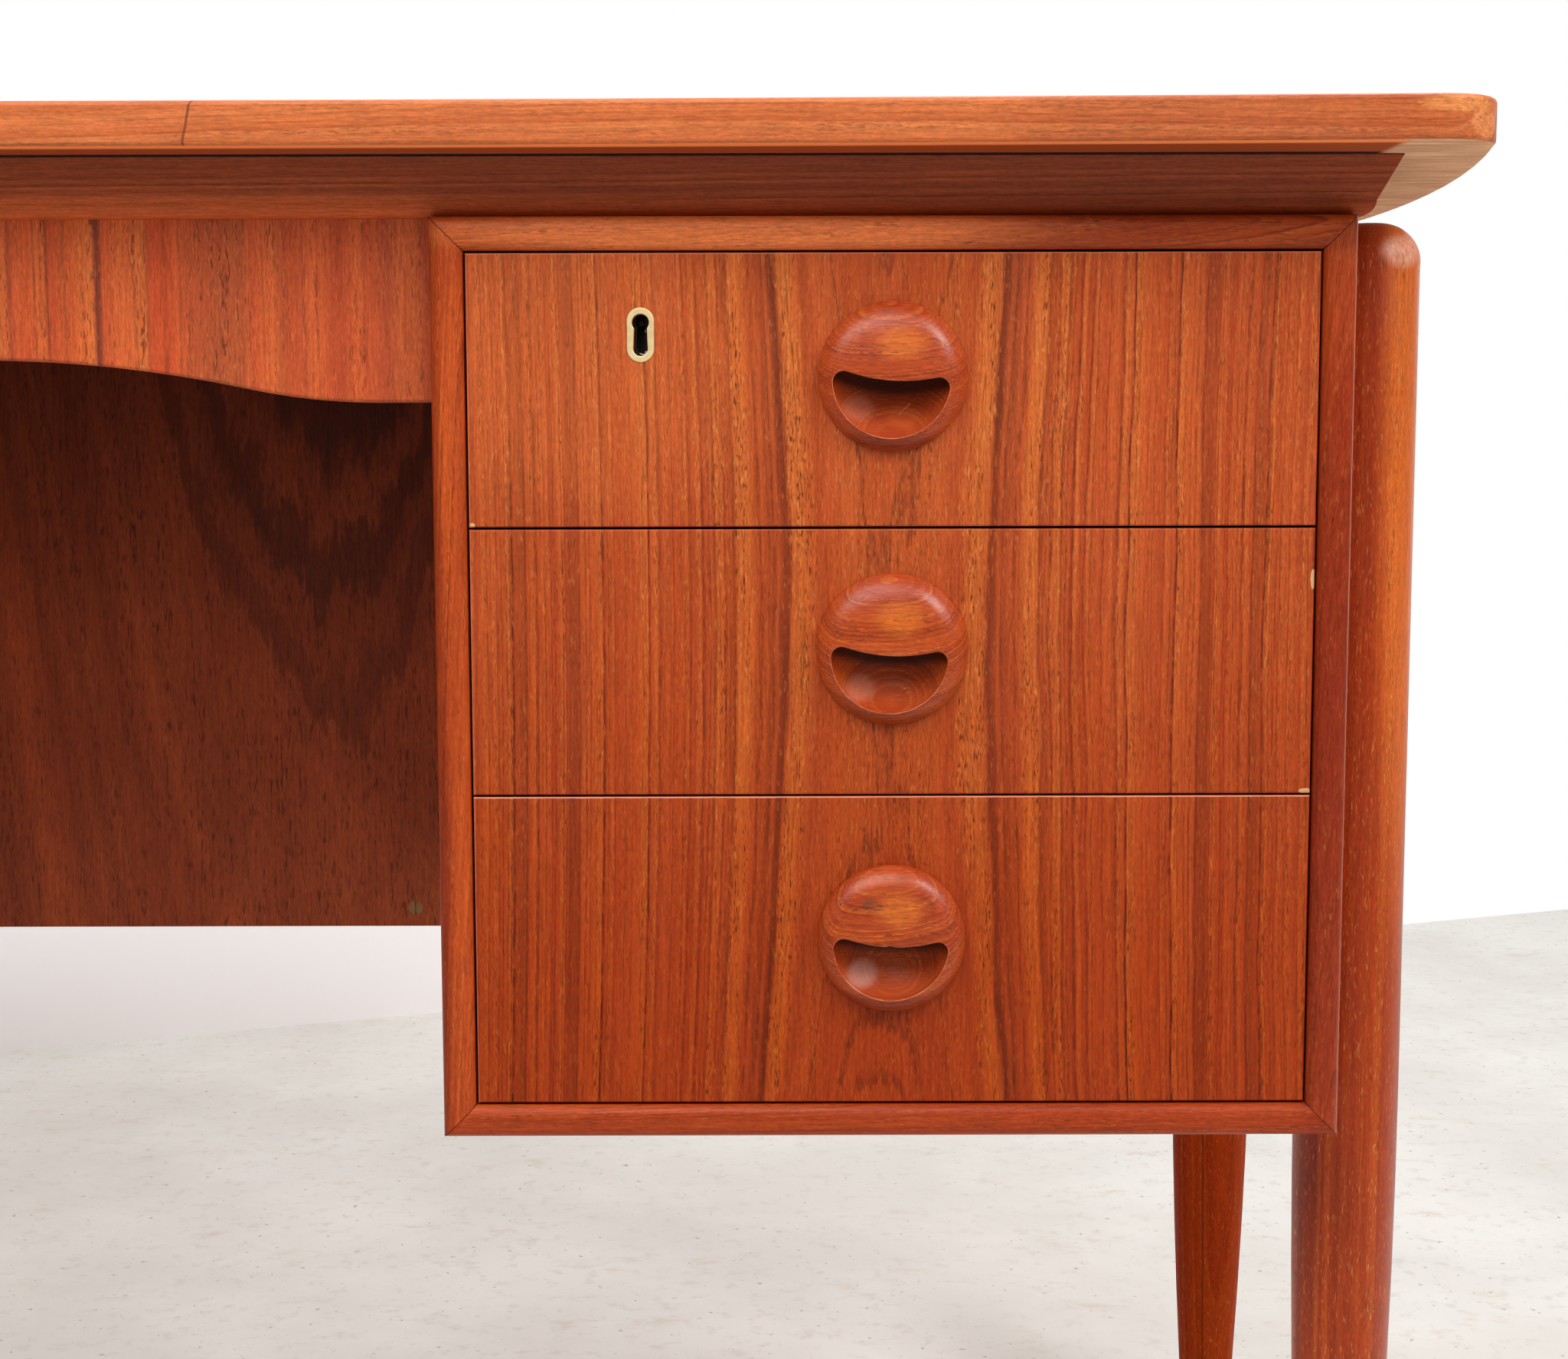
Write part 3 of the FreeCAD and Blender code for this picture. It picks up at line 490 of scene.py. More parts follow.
RAIL_WASHES = {
    # painted light from below on the rail's lower half and lower edge
    "lit lower half": ((0.05, -0.24, 0.688), (0.55, 0.06, 0.013), tone(214, 100, 46), 0.7),
    "lit lower edge": ((0.4, -0.24, 0.688), (0.55, 0.06, 0.009), tone(196, 84, 38), 0.5)}
LEG_WASHES = {
    # painted light on the leg's right flank, and painted shade on its left flank
    "lit flank": ((0.6650, -0.178, 0.62), (0.020, 0.04, 0.30), tone(236, 122, 46), 0.6),
    "shaded flank": ((0.6250, -0.178, 0.38), (0.010, 0.04, 0.28), (0.66, 0.56, 0.44, 1.0),
                   1.0, "MULTIPLY"),
    # painted shade on the left of the leg's dome
    "shaded shoulder": ((0.6300, -0.190, 0.71), (0.020, 0.05, 0.035), tone(110, 36, 14),
                      0.7),
    # painted highlight on the right of the leg's dome
    "dome highlight": ((0.6570, -0.178, 0.678), (0.012, 0.03, 0.009), tone(244, 184, 156),
                    0.6)}
REAR_LEG_WASHES = {
    # painted shade over the whole rear leg
    "shaded whole leg": ((0.6465, 0.158, 0.3), (0.1, 0.1, 0.9), (0.76, 0.68, 0.58, 1.0), 1.0,
                  "MULTIPLY")}

# Nicks at the fronts' edges, then painted highlight lines along their edges
FRONT_MARKS = [
    patch((LEFT_EDGE + 1.2 * MM, FRONT_Y, 0.5632), (0.0018, 0.01, 0.0016), PALE, 0.8),
    patch((RIGHT_EDGE - 0.6 * MM, FRONT_Y, 0.5405), (0.0016, 0.01, 0.006), PALE, 0.7),
    patch((RIGHT_EDGE - 2.0 * MM, FRONT_Y, 0.4525), (0.004, 0.01, 0.0016), PALE, 0.7),
    # Painted highlight lines on the fronts' top and left edges
    seam((0.0, 0.0, 0.4504), UP, 0.00045, tone(240, 158, 122), 0.75),
    seam((LEFT_EDGE + 0.2 * MM, 0.0, 0.0), ACROSS, 0.0005, tone(226, 150, 118), 0.5),
    seam((0.0, 0.0, 0.6732), UP, 0.0004, tone(224, 142, 108), 0.4)]
# Paler yellow-orange patches at the lipping's front corner
CORNER_PATCHES = [
    patch((0.6500, -0.272, 0.7262), (0.024, 0.03, 0.0055), tone(248, 164, 88), 0.55,
          (300.0, 300.0, 600.0), (0.5, 1.0)),
    patch((0.6620, -0.272, 0.7190), (0.010, 0.03, 0.0090), tone(244, 160, 96), 0.5,
          (400.0, 400.0, 600.0), (0.5, 1.0))]
SCARF = seam((0.1471, -0.28, 0.72), (0.74, -0.673, -0.152), 0.0006, tone(96, 44, 26), 0.7)
RAIL_SEAM = seam((0.0, 0.0, 0.7119), UP, 0.0005, tone(36, 12, 8), 0.9)
REAR_LEG_LINE = seam((0.6405, 0.13, 0.1), (1.0, 0.0, 0.02), 0.0006, tone(70, 24, 12), 0.6)

# The pulls' crowns, painted shade on their lower rims, and their bowls
CROWN_WASHES = [
    tinted((CENTRE_X + 0.003, FRONT_Y, height + 0.013), (0.014, 0.03, 0.010),
           tone(230, 124, 40), 0.45) for height in PULL_HEIGHTS.values()]
# Painted shade on the pulls' lower rims
RIM_SHADE_WASHES = [
    tinted((CENTRE_X - 0.004, FRONT_Y, height - 0.030), (0.034, 0.03, 0.012),
           (0.72, 0.62, 0.50, 1.0), 1.0, "MULTIPLY") for height in PULL_HEIGHTS.values()]
PULL_MARKS = [
    patch((CENTRE_X - 0.0082, FRONT_Y - 0.010, 0.4065), (0.007, 0.01, 0.005),
          tone(104, 62, 36), 0.85, (350.0, 350.0, 1500.0), (0.72, 0.98)),
    scratch((CENTRE_X + 0.0027, 0.6081), (CENTRE_X + 0.0072, 0.6125), 0.00035,
            tone(232, 160, 110))]
# Painted highlights in the bowls: lamp reflections on their lower left, and a lit orange spot
# low in the top bowl
PULL_BOWL_HIGHLIGHTS = [
    tinted((CENTRE_X + across, FRONT_Y, PULL_HEIGHTS[level] + up), (0.0085, 0.03, 0.0070),
           sheen, 0.38)
    for level, across, up, sheen in (("top", 0.0040, -0.0160, tone(226, 98, 30)),
                                     ("top", -0.0140, -0.0125, tone(220, 134, 106)),
                                     ("middle", -0.0130, -0.0160, tone(214, 138, 112)),
                                     ("bottom", -0.0120, -0.0154, tone(236, 186, 170)))]


def pull_highlights_and_shade(made):
    """Painted highlights on the mouth's edge and in the bowls, a red-brown tone deeper in the
    bowl, and painted shadow under the lip, by the attributes of their meshes.
    """
    tree = made.node_tree
    base = tree.nodes["Principled BSDF"].inputs["Base Color"]
    colour = base.links[0].from_socket
    point = add(tree, "ShaderNodeTexCoord").outputs["Object"]
    # Painted highlight along the mouth's rounded edge, broken by noise
    edge_light = add(tree, "ShaderNodeAttribute", attribute_name="edge_highlight").outputs["Fac"]
    ragged = noise(tree, point, (180.0, 180.0, 180.0), 3.0, 0.6)
    edge_light = times(tree, edge_light, ramp(tree, ragged, 0.35, 0.65, 0.15, 0.75))
    colour = mixed(tree, edge_light, colour, tone(226, 128, 84))
    below_lip = add(tree, "ShaderNodeAttribute", attribute_name="below_lip").outputs["Fac"]
    deep = times(tree, ramp(tree, below_lip, 6.0, 20.0),
                 ramp(tree, below_lip, 26.0, 27.0, 0.4, 0.0))
    colour = mixed(tree, deep, colour, tone(196, 76, 34))
    # Painted highlights in the bowls
    for bowl_highlight in PULL_BOWL_HIGHLIGHTS:
        colour = bowl_highlight(tree, point, colour)
    # Painted shadow under the lip, deep in the mouth
    lip_shadow = ramp(tree, below_lip, 3.0, 8.0, 0.9, 0.0)
    tree.links.new(mixed(tree, lip_shadow, colour, tone(58, 20, 10)), base)
    return made


materials = {}
for side, turn in SIDES.items():
    middle = CENTRE_X * turn
    materials[side + "_fronts"] = wood(
        "front_veneer_" + side, VENEER, heart=((CENTRE_X - 0.002) * turn, 0.3022), lean=0.0,
        belly=(0.52, 0.19), shift=(0.0, 0.0, 0.0 if turn > 0 else 0.9), figure=FRONT_BANDS,
        # Painted shade: the fronts darker and redder towards the bottom, where less light
        # falls
        shade_fall=(0.33, 0.62, (0.77, 0.50, 0.16, 1.0)), streak=0.4, mottle=0.35, wander=0.006,
        line=1.0, ring=0.0048, gloss=0.4, level=0.2, pores=1.0, flame=0.0005, flecks=0.6,
        # Painted light: a paler pool on the upper left of the fronts
        washes=[tinted((middle - 0.125 * turn, FRONT_Y, 0.63), (0.09, 0.05, 0.08),
                       tone(232, 126, 64), 0.18)], marks=FRONT_MARKS)
    materials[side + "_frame"] = wood(
        "frame_teak_" + side, SOLID, along="XZ", heart=(0.76, 0.28), lean=0.12, ring=0.0026,
        wander=0.008, mottle=0.6, flecks=0.3, gloss=0.36, level=0.2, pores=1.0, line=1.0,
        mitre=(0, 2, 0.18845, 0.19125, (middle, 0.497)),
        washes=washed(FRAME_WASHES, middle),
        # Painted highlight line along a stile's outer edge
        marks=[seam((middle + 0.1878, 0.0, 0.0), ACROSS, 0.0005, tone(214, 120, 84), 0.35)])
materials["apron"] = wood(
    "apron_veneer", APRON, heart=(-0.9967, 0.224), lean=0.0, ring=0.013, line=0.8,
    broad=40.0, streak=0.3, wander=0.003, mottle=0.4, pores=1.0,
    figure=[(1.0 + place, *rest) for place, *rest in APRON_BANDS])
materials["panel"] = wood(
    "panel_veneer", PANEL, heart=(0.113, 0.0662), lean=-0.1, ring=0.008, line=0.6,
    broad=50.0, streak=0.3, wander=0.014, mottle=0.6, flecks=0.1, pores=1.0,
    figure=PANEL_BANDS,
    flame=0.0022, flame_scale=(330, 330, 60), pore_size=2.2,
    # Painted shade: the panel darker towards the top, in the shade under the table top
    shade_fall=(0.66, 0.44, (0.5, 0.46, 0.5, 1.0)))
materials["case"] = wood("case_veneer", VENEER, along="Z", heart=(0.4, 0.5), lean=0.03)
materials["core"] = wood("top_veneer", TOP, along="X", heart=(0.0, 0.05), lean=0.02,
                         ring=0.006, shift=(-0.7, 0.0, 0.0), gloss=0.4, level=0.3, raw=True)
materials["lipping"] = wood(
    "lipping_teak", LIPPING, along="XY", heart=(0.76, 0.33), lean=0.02, ring=0.0045,
    wander=0.006, mottle=0.5, flecks=0.25, pores=0.7, streak=0.4, broad=90.0, line=0.55,
    gloss=0.4, level=0.3, raw=True, mitre=(0, 1, 0.688, 0.259, (0.0, 0.0)), joint=0.0,
    washes=washed(LIPPING_WASHES) + CORNER_PATCHES, marks=[SCARF])
materials["long_rail"] = wood(
    "rail_teak_long", RAIL, along="X", heart=(0.74, 0.26), lean=0.01, ring=0.004,
    wander=0.008, pores=0.3, flecks=0.08, streak=0.5, mottle=0.5,
    washes=washed(RAIL_WASHES), marks=[RAIL_SEAM])
materials["end_rail"] = wood("rail_teak_end", RAIL, along="Y", heart=(0.66, -0.66),
                             lean=0.01, ring=0.004, wander=0.008, pores=0.3, flecks=0.08)
materials["leg"] = wood(
    "leg_teak", LEG, heart=(0.7, 0.2), lean=0.01, ring=0.006, line=0.15, wander=0.006,
    mottle=0.35, gloss=0.34, level=0.35, pores=1.0, flecks=1.0, washes=washed(LEG_WASHES))
# Painted shade: a darker copy of the leg for the rear legs
materials["shaded_rear_leg"] = wood(
    "leg_teak_rear_shaded", LEG, heart=(0.7, 0.2), lean=0.01, ring=0.006, line=0.2, wander=0.006,
    mottle=0.35, gloss=0.6, level=0.05, pores=0.6, flecks=0.5,
    washes=washed(REAR_LEG_WASHES), marks=[REAR_LEG_LINE])
materials["pull"] = pull_highlights_and_shade(wood(
    "pull_teak", PULL, along="X", heart=(0.2, -0.1), lean=0.06, ring=0.0013, line=0.4,
    wander=0.003, gloss=0.32, level=0.45, pores=1.0, flecks=0.35, mottle=0.45, broad=110.0,
    washes=CROWN_WASHES + RIM_SHADE_WASHES, marks=PULL_MARKS))
materials["box"] = wood("drawer_oak", BOX, along="Y", heart=(0.5, -0.5), ring=0.004,
                        gloss=0.6)
materials["ply"] = wood("drawer_ply", BOX, along="Y", heart=(0.4, -0.3), ring=0.006,
                        gloss=0.6)
materials["batten"] = wood("runner_beech", BOX, along="Y", heart=(0.5, -0.5), ring=0.003,
                           gloss=0.6)


def metal(name, colour, stain, rough, brushing, metallic=1.0, marks=()):
    """A stained metal with brush lines."""
    made, tree, shader, point = material(name)
    cloud = ramp(tree, noise(tree, point, (260.0, 260.0, 260.0), 3.0, 0.6), 0.4, 0.75)
    colour = mixed(tree, times(tree, cloud, 0.5), colour, stain)
    for mark in marks:
        colour = mark(tree, point, colour)
    tree.links.new(colour, shader.inputs["Base Color"])
    lines = noise(tree, point, brushing, 2.0)
    tree.links.new(ramp(tree, lines, 0.2, 0.8, rough - 0.08, rough + 0.1),
                   shader.inputs["Roughness"])
    bump = add(tree, "ShaderNodeBump",
               {"Strength": 0.2, "Distance": 0.1 * MM, "Height": lines})
    tree.links.new(bump.outputs[0], shader.inputs["Normal"])
    shader.inputs["Metallic"].default_value = metallic
    return made


materials["brass"] = metal("brass", tone(252, 226, 170), tone(226, 194, 132), 0.34,
                           (900.0, 900.0, 3000.0), 0.3)
materials["old_brass"] = metal("old_brass", tone(176, 126, 84), tone(112, 76, 50), 0.45,
                               (900.0, 900.0, 900.0), 0.5)
# Dark steel, darkened as painted shade for the inside of the keyhole, with two painted glints
# on the keyhole's edges
materials["lock"] = metal("lock_steel", tone(70, 68, 68), tone(34, 32, 32), 0.4,
                          (400.0, 400.0, 2500.0), 0.8,
                          [patch((0.3343, -0.226, 0.6334), (0.003, 0.004, 0.0012),
                                 tone(250, 246, 246), 1.0, cut=(0.2, 0.4)),
                           patch((0.3338, -0.226, 0.6425), (0.001, 0.004, 0.001),
                                 tone(220, 214, 212), 1.0, cut=(0.2, 0.4))])
materials["screw"] = metal("screw_steel", tone(184, 182, 178), tone(120, 112, 104), 0.35,
                           (700.0, 700.0, 700.0))


def look_of(name):
    """The material of a node by its name."""
    side = name.split("_")[0]
    if side == "back":
        return "shaded_rear_leg"
    endings = {"_drawer_front": side + "_fronts", "_front_frame": side + "_frame",
               "_leg": "leg", "_pull": "pull", "_drawer_sides": "box", "_drawer_back": "box",
               "_drawer_bottom": "ply", "_runners": "batten"}
    for ending, look in endings.items():
        if name.endswith(ending):
            return look
    single = {"tabletop_core": "core", "tabletop_lipping": "lipping",
              "spacer_long_rails": "long_rail", "spacer_end_rails": "end_rail",
              "kneehole_apron": "apron", "kneehole_back_panel": "panel",
              "kneehole_batten": "batten", "kneehole_panel_screws": "old_brass",
              "keyhole_escutcheon": "brass", "lock_case": "lock", "lock_bolt": "lock",
              "leg_screws": "screw", "spacer_screws": "screw"}
    return single.get(name, "case")


for name, node in nodes.items():
    look = materials[look_of(name)]
    if node.material_slots:
        for place in node.material_slots:
            place.material = look
    else:
        node.data.materials.append(look)


# Turned pulls, in millimetres about their own middle: across, up and out of the front

RAYS = 192
CROWN_STEPS = 19
EDGE_STEPS = 4
BOWL_STEPS = 15
VIEWPOINT = Vector((0.0, -12.0))
BOWL_RADIUS = 24.0
BOWL_DEPTH = 13.0
BOWL_RIM = 4.0
LIP_RADIUS = 70.0
LIP_DROP = 2.0
EDGE_ROUND = 0.4
CROWN_HEIGHT = 11.0
RIM_SHARE = 0.7
BOSS_RADIUS = 26.35
BOSS_DEPTH = 17.9
NICK_WIDTH = 1.2
# What below_lip says outside the mouth, where neither the deeper tone nor the painted shadow
# under the lip reaches
OUTSIDE = 30.0


def far_side(start, way, middle, radius):
    """How far a ray runs until it leaves a circle."""
    offset = middle - start
    along = offset.dot(way)
    return along + math.sqrt(max(radius ** 2 - offset.length_squared + along ** 2, 0.0))


def near_side(start, way, middle, radius):
    """How far a ray runs until it enters a circle, or a long way if it misses."""
    offset = middle - start
    along = offset.dot(way)
    inside = radius ** 2 - offset.length_squared + along ** 2
    return along - math.sqrt(inside) if inside > 0.0 and along > 0.0 else 1000.0


def corner_round(bowl_middle, lip_middle, size, side):
    """The circle that rounds one corner of the mouth, and the two angles it spans."""
    first, second = BOWL_RADIUS - size, LIP_RADIUS + size
    line = lip_middle - bowl_middle
    along = (first ** 2 - second ** 2 + line.length_squared) / (2.0 * line.length)
    across = math.sqrt(first ** 2 - along ** 2)
    unit = line.normalized()
    middle = bowl_middle + unit * along + Vector((unit.y, -unit.x)) * across * side
    touch_bowl = bowl_middle + (middle - bowl_middle) * BOWL_RADIUS / first
    touch_lip = lip_middle + (middle - lip_middle) * LIP_RADIUS / second
    angles = sorted(math.atan2(*reversed(touch - VIEWPOINT)) % math.tau
                    for touch in (touch_bowl, touch_lip))
    return middle, size, angles


def crown_height(distance, radius, shoulder, drop, rim):
    """Height of the crown at a distance from the middle: a flat dome, then a steep rim."""
    dome = (shoulder ** 2 + drop ** 2) / (2.0 * drop)
    if distance <= shoulder:
        return CROWN_HEIGHT - dome + math.sqrt(dome ** 2 - distance ** 2)
    slope = 2.0 * math.atan(drop / shoulder)
    out, down = radius - shoulder, rim - CROWN_HEIGHT + drop
    steepness = out * math.sin(slope) + down * math.cos(slope)
    bend = -(out ** 2 + down ** 2) / (2.0 * steepness)
    middle = shoulder - bend * math.sin(slope)
    level = CROWN_HEIGHT - drop - bend * math.cos(slope)
    return level + math.sqrt(max(bend ** 2 - (distance - middle) ** 2, 0.0))


def mouth_reach(angle, way, bowl, lip_middle, rounds, nick):
    """How far a ray runs to the edge of the mouth."""
    mouth = min(bowl - 0.05, near_side(VIEWPOINT, way, lip_middle, LIP_RADIUS))
    for middle, size, (low, high) in rounds:
        if low <= angle <= high and high - low < math.pi:
            mouth = far_side(VIEWPOINT, way, middle, size)
    if nick and way.y > 0.0:
        place, depth = nick
        across = VIEWPOINT.x + way.x * mouth
        mouth += depth * math.exp(-((across - place) / NICK_WIDTH) ** 2)
    return mouth


def outer_points(way, outer, inner, radius, shoulder, drop, rim):
    """The points of one ray from the boss's middle over the crown to the lip's edge."""
    outside = VIEWPOINT + way * outer
    points = [(Vector((0.0, 0.0)), -BOSS_DEPTH), (way * BOSS_RADIUS, -BOSS_DEPTH),
              (way * BOSS_RADIUS, 0.0), (outside, 0.0), (outside, rim * RIM_SHARE)]
    for step in range(1, CROWN_STEPS + 1):
        share = (step / CROWN_STEPS) ** 1.7
        spot = VIEWPOINT + way * (outer + (inner - outer) * share)
        points.append((spot, crown_height(spot.length, radius, shoulder, drop, rim)))
    level = points[-1][1]
    for step in range(1, EDGE_STEPS + 1):
        bend = math.pi / 2.0 / EDGE_STEPS * step
        spot = VIEWPOINT + way * (inner - EDGE_ROUND * math.sin(bend))
        points.append((spot, level - EDGE_ROUND * (1.0 - math.cos(bend))))
    return points


def inner_points(way, mouth, bowl, low, bowl_middle):
    """The points of one ray down the mouth's wall and over the bowl to its middle."""
    ball = (BOWL_RADIUS ** 2 + BOWL_DEPTH ** 2) / (2.0 * BOWL_DEPTH)
    level = BOWL_RIM - BOWL_DEPTH + ball
    wall = VIEWPOINT + way * mouth
    points = [(wall, low + (BOWL_RIM - low) * share) for share in (0.5, 1.0)]
    rim_spot = VIEWPOINT + way * bowl
    for step in range(BOWL_STEPS):
        share = 1.0 - (step / BOWL_STEPS) ** 1.2
        spot = bowl_middle + (rim_spot - bowl_middle) * share
        away = (spot - bowl_middle).length
        points.append((spot, level - math.sqrt(ball ** 2 - away ** 2)))
    return points + [(bowl_middle, level - ball)]


def turned_pull(name, place, turn, radius, shoulder, drop, rim, bowl_middle, lip_shift,
                corner, nick=None):
    """A pull: crown, mouth, bowl and boss as rings of points on rays from the mouth."""
    bowl_middle = Vector(bowl_middle)
    lip_middle = Vector((lip_shift, LIP_RADIUS - LIP_DROP))
    rounds = [corner_round(bowl_middle, lip_middle, corner, side) for side in (1.0, -1.0)]
    columns = []
    for ray in range(RAYS):
        angle = math.tau * ray / RAYS
        way = Vector((math.cos(angle), math.sin(angle)))
        bowl = far_side(VIEWPOINT, way, bowl_middle, BOWL_RADIUS)
        mouth = mouth_reach(angle, way, bowl, lip_middle, rounds, nick)
        outer = far_side(VIEWPOINT, way, Vector((0.0, 0.0)), radius)
        points = outer_points(way, outer, mouth + EDGE_ROUND, radius, shoulder, drop,
                              rim)
        outside_count = len(points)
        low = points[-1][1]
        columns.append(points + inner_points(way, mouth, bowl, low, bowl_middle))

    mesh = bmesh.new()
    edge_highlight = mesh.verts.layers.float.new("edge_highlight")
    below_lip = mesh.verts.layers.float.new("below_lip")
    rows = []
    last = len(columns[0]) - 1
    for index, ring in enumerate(zip(*columns)):
        single = index in (0, last)
        row = []
        for spot, height in ring[:1] if single else ring:
            corner_point = mesh.verts.new((place[0] + spot.x * turn * MM,
                                           FRONT_Y - height * MM, place[1] + spot.y * MM))
            lip = lip_middle.y - math.sqrt(LIP_RADIUS ** 2 - (spot.x - lip_middle.x) ** 2)
            corner_point[below_lip] = lip - spot.y if index >= outside_count else OUTSIDE
            # The mouth's edge rings carry the painted highlight
            on_edge = outside_count - EDGE_STEPS <= index < outside_count
            corner_point[edge_highlight] = 1.0 if on_edge else 0.0
            row.append(corner_point)
        rows.append(row * RAYS if single else row)
    for first, second in zip(rows, rows[1:]):
        for ray in range(RAYS):
            after = (ray + 1) % RAYS
            points = [first[ray], first[after], second[after], second[ray]]
            mesh.faces.new(list(dict.fromkeys(points)))
    bmesh.ops.recalc_face_normals(mesh, faces=mesh.faces)
    for face in mesh.faces:
        face.smooth = True
    data = bpy.data.meshes.new(name)
    mesh.to_mesh(data)
    mesh.free()
    data.set_sharp_from_angle(angle=math.radians(50.0))
    data.materials.append(materials["pull"])
    made = bpy.data.objects.new(name, data)
    bpy.context.scene.collection.objects.link(made)
    return made


# Each pull was turned by hand, so no two are quite the same
PULL_SHAPES = {
    "top": dict(radius=30.5, shoulder=20.5, drop=2.0, rim=1.5, bowl_middle=(-0.8, -1.0),
                lip_shift=4.0, corner=4.4),
    "middle": dict(radius=31.4, shoulder=21.0, drop=1.9, rim=1.5, bowl_middle=(-1.4, -2.0),
                   lip_shift=2.4, corner=4.4),
    "bottom": dict(radius=30.8, shoulder=22.5, drop=1.7, rim=2.6, bowl_middle=(-0.5, -1.0),
                   lip_shift=2.2, corner=4.4, nick=(-1.0, 0.5))}
for side, turn in SIDES.items():
    for level, shape in PULL_SHAPES.items():
        drawer = side + "_" + level + "_drawer"
        knob = turned_pull(drawer + "_turned_pull", (CENTRE_X * turn, PULL_HEIGHTS[level]),
                           turn, **shape)
        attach(knob, drawer)
        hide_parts(drawer + "_pull")


# Floor, wall, camera and lamps

def sheet_of(name, corners, look):
    """A flat stage piece."""
    mesh = bpy.data.meshes.new(name)
    mesh.from_pydata(corners, [], [list(range(len(corners)))])
    mesh.materials.append(look)
    made = bpy.data.objects.new(name, mesh)
    bpy.context.scene.collection.objects.link(made)


def concrete():
    """The floor, darker in front for gloss alone."""
    made, tree, shader, point = material("pale_concrete")
    cloud = noise(tree, point, (2.6, 2.6, 2.6), 5.0, 0.62)
    grain = noise(tree, point, (60.0, 60.0, 60.0), 4.0, 0.7)
    colour = mixed(tree, ramp(tree, cloud, 0.35, 0.65), tone(212, 209, 203),
                   tone(225, 223, 218))
    colour = mixed(tree, ramp(tree, grain, 0.52, 0.7, 0.0, 0.45), colour,
                   tone(196, 189, 180))
    drift = noise(tree, point, (14.0, 26.0, 14.0), 6.0, 0.75, (3.0, 1.0, 0.0))
    colour = mixed(tree, ramp(tree, drift, 0.56, 0.70, 0.0, 0.6), colour,
                   tone(204, 190, 174))
    specks = noise(tree, point, (150.0, 150.0, 150.0), 3.0)
    colour = mixed(tree, ramp(tree, specks, 0.66, 0.74, 0.0, 0.7), colour,
                   tone(150, 142, 132))
    path = add(tree, "ShaderNodeLightPath")
    front = ramp(tree, split(tree, point)[1], -0.6, -0.25, 0.9, 0.0)
    front = times(tree, front, path.outputs["Is Glossy Ray"])
    colour = mixed(tree, front, colour, tone(40, 38, 36))
    tree.links.new(colour, shader.inputs["Base Color"])
    shader.inputs["Roughness"].default_value = 0.8
    return made


def white_wall():
    """The wall, seen as pure white but for its foot."""
    made, tree, shader, point = material("white_wall")
    x, _, z = split(tree, point)
    colour = mixed(tree, ramp(tree, z, 0.0, 0.6), tone(255, 252, 252), tone(255, 255, 255))
    tree.links.new(colour, shader.inputs["Base Color"])
    shader.inputs["Roughness"].default_value = 0.9
    bright = add(tree, "ShaderNodeEmission", {0: tone(255, 255, 255), 1: 1.0})
    clear = add(tree, "ShaderNodeBsdfTransparent")
    path = add(tree, "ShaderNodeLightPath")
    high = calc(tree, "MAXIMUM", ramp(tree, z, -0.05, 0.4), ramp(tree, x, 0.5, 0.8))
    seen = calc(tree, "MAXIMUM", path.outputs["Is Camera Ray"],
                path.outputs["Is Glossy Ray"])
    white = add(tree, "ShaderNodeMixShader", {0: times(tree, seen, high),
                                              1: shader.outputs[0], 2: bright.outputs[0]})
    behind = add(tree, "ShaderNodeNewGeometry").outputs["Backfacing"]
    both = add(tree, "ShaderNodeMixShader", {0: behind, 1: white.outputs[0],
                                             2: clear.outputs[0]})
    tree.links.new(both.outputs[0], tree.nodes["Material Output"].inputs[0])
    return made


def wall_y(x):
    """Where the wall stands, which runs askew behind the desk."""
    return 1.0264 + 0.377 * (x + 0.3729)


FLOOR, WALL, WALL_TOP = 9, 5, 3.5
sheet_of("floor", [(-FLOOR, -FLOOR, 0), (FLOOR, -FLOOR, 0), (FLOOR, FLOOR, 0),
                   (-FLOOR, FLOOR, 0)], concrete())
sheet_of("wall", [(-WALL, wall_y(-WALL), 0), (WALL, wall_y(WALL), 0),
                  (WALL, wall_y(WALL), WALL_TOP), (-WALL, wall_y(-WALL), WALL_TOP)],
         white_wall())

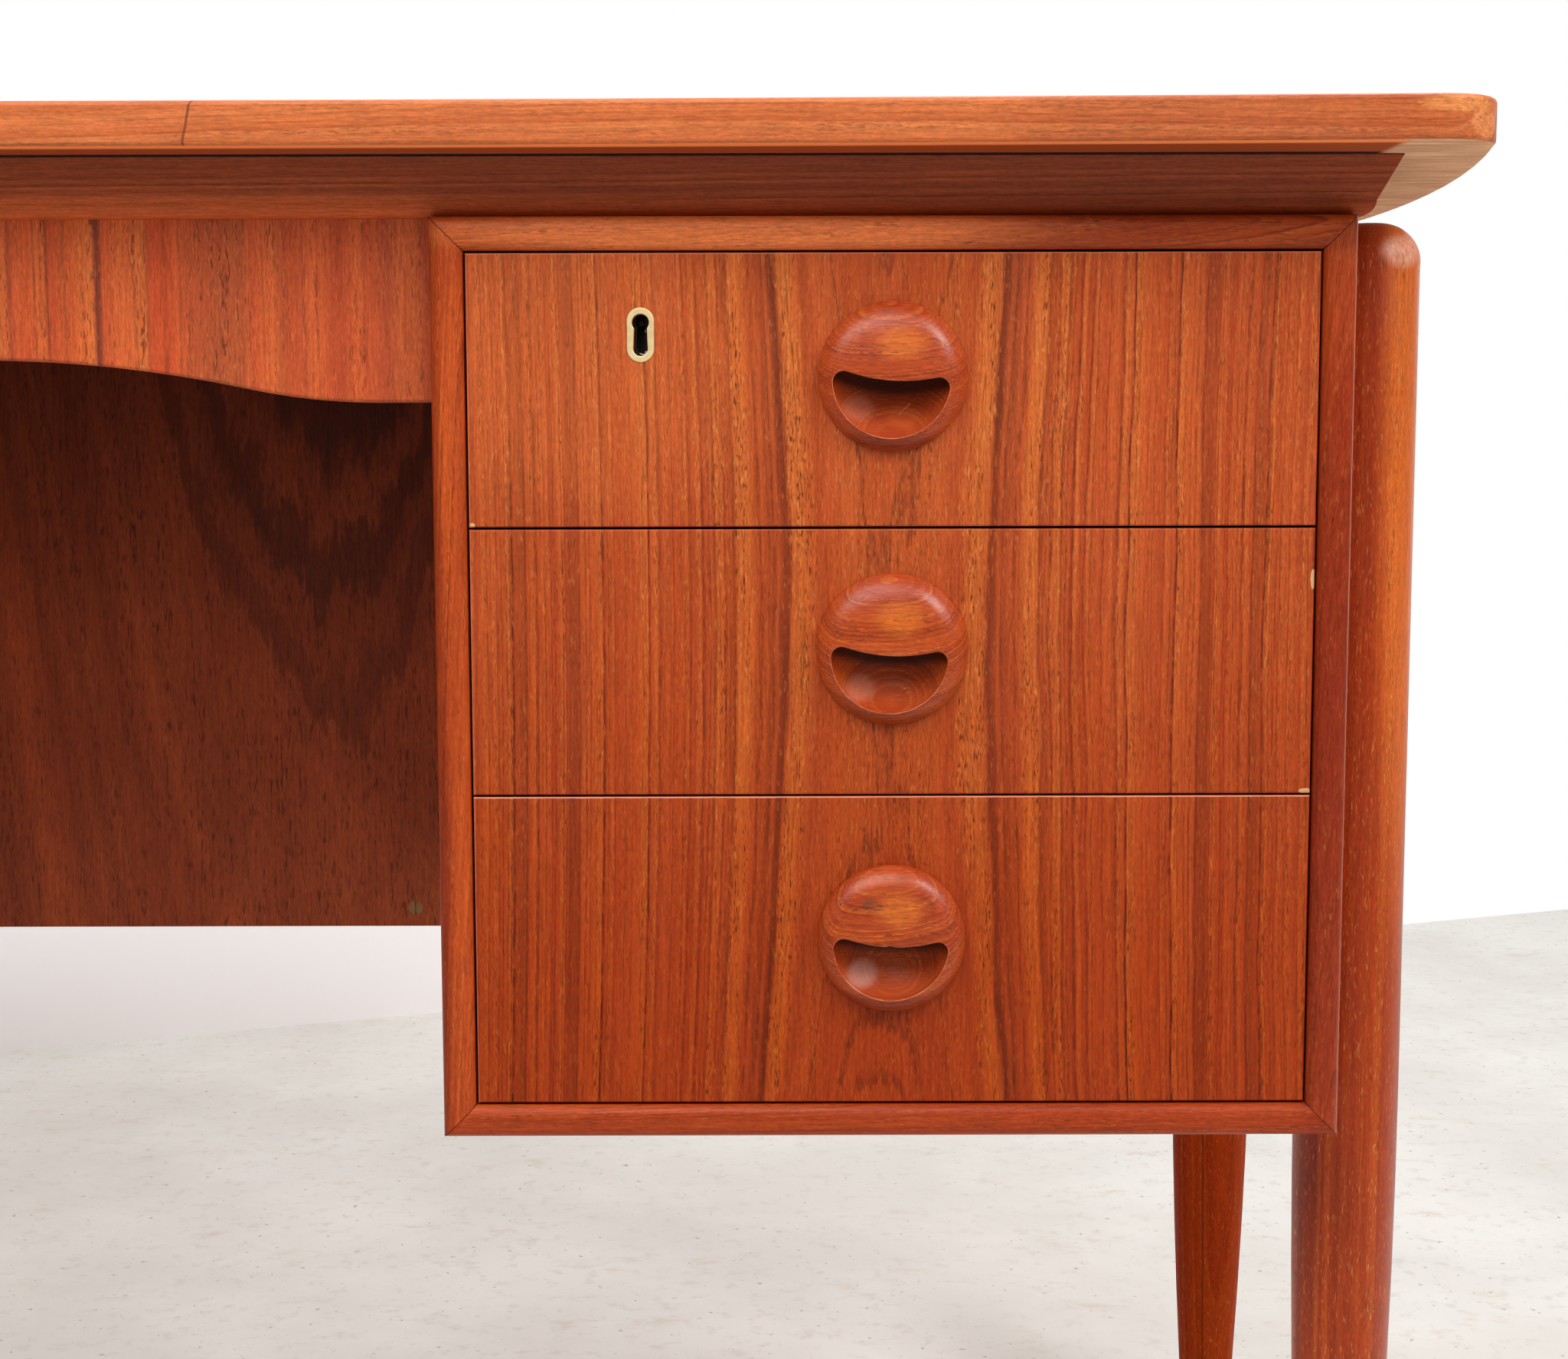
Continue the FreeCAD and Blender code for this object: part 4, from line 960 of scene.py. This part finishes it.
def studio():
    """The world: soft and uneven as a light, brighter where it is seen or mirrored."""
    world = bpy.data.worlds.new("studio")
    bpy.context.scene.world = world
    world.use_nodes = True
    tree = world.node_tree
    tree.nodes.clear()
    path = add(tree, "ShaderNodeLightPath")
    seen = calc(tree, "MAXIMUM", calc(tree, "MAXIMUM", path.outputs["Is Camera Ray"],
                                      path.outputs["Is Glossy Ray"]),
                path.outputs["Is Transmission Ray"])
    way = split(tree, add(tree, "ShaderNodeTexCoord").outputs["Generated"])
    soft = add(tree, "ShaderNodeBackground", {0: tone(255, 255, 255),
                                              1: ramp(tree, way[0], -0.8, 0.8, 0.16, 0.46)})
    back = ramp(tree, way[1], 0.3, 0.9)
    back = calc(tree, "MAXIMUM", back, ramp(tree, way[2], 0.0, 0.9, 0.06, 0.6))
    back = calc(tree, "MAXIMUM", back, path.outputs["Is Camera Ray"])
    pale = add(tree, "ShaderNodeBackground", {0: tone(255, 255, 255), 1: back})
    both = add(tree, "ShaderNodeMixShader", {0: seen, 1: soft.outputs[0], 2: pale.outputs[0]})
    add(tree, "ShaderNodeOutputWorld", {0: both.outputs[0]})


def lamp(name, place, target, width, height, power):
    """A softbox that points at a target."""
    data = bpy.data.lights.new(name, "AREA")
    data.shape = "RECTANGLE"
    data.size, data.size_y = width, height
    data.energy = power
    made = bpy.data.objects.new(name, data)
    bpy.context.scene.collection.objects.link(made)
    made.location = place
    aim = Vector(target) - Vector(place)
    made.rotation_euler = aim.to_track_quat("-Z", "Y").to_euler()


studio()
lamp("softbox_right", (1.85, -1.25, 1.85), (0.5, -0.2, 0.5), width=0.8, height=0.9,
     power=22.5)
lamp("softbox_front", (-0.1, -1.25, 1.9), (0.42, -0.2, 0.6), width=1.8, height=1.2,
     power=26.5)
lamp("softbox_above", (0.6, 1.0, 2.8), (0.4, 0.7, 0.0), width=2.6, height=1.8,
     power=54.0)

# The photo's camera: lens and shift in pixels of the photo, dip in degrees, roll in radians
PHOTO_WIDTH = 2048.0
FOCAL_LENGTH = 3000.0
SHIFT = 14.0
CAMERA_PLACE = (0.3865, -1.1786, 0.599)
CAMERA_DIP = 6.02
CAMERA_ROLL = -0.0025
SENSOR_WIDTH = 36.0
camera_data = bpy.data.cameras.new("camera")
camera_data.sensor_width = SENSOR_WIDTH
camera_data.lens = FOCAL_LENGTH / PHOTO_WIDTH * SENSOR_WIDTH
camera_data.shift_x = SHIFT / PHOTO_WIDTH
camera = bpy.data.objects.new("camera", camera_data)
bpy.context.scene.collection.objects.link(camera)
tilt = Matrix.Rotation(math.radians(90.0 - CAMERA_DIP), 4, "X")
roll = Matrix.Rotation(CAMERA_ROLL, 4, "Z")
camera.matrix_world = Matrix.Translation(CAMERA_PLACE) @ tilt @ roll
bpy.context.scene.camera = camera
bpy.context.scene.view_settings.view_transform = "Standard"
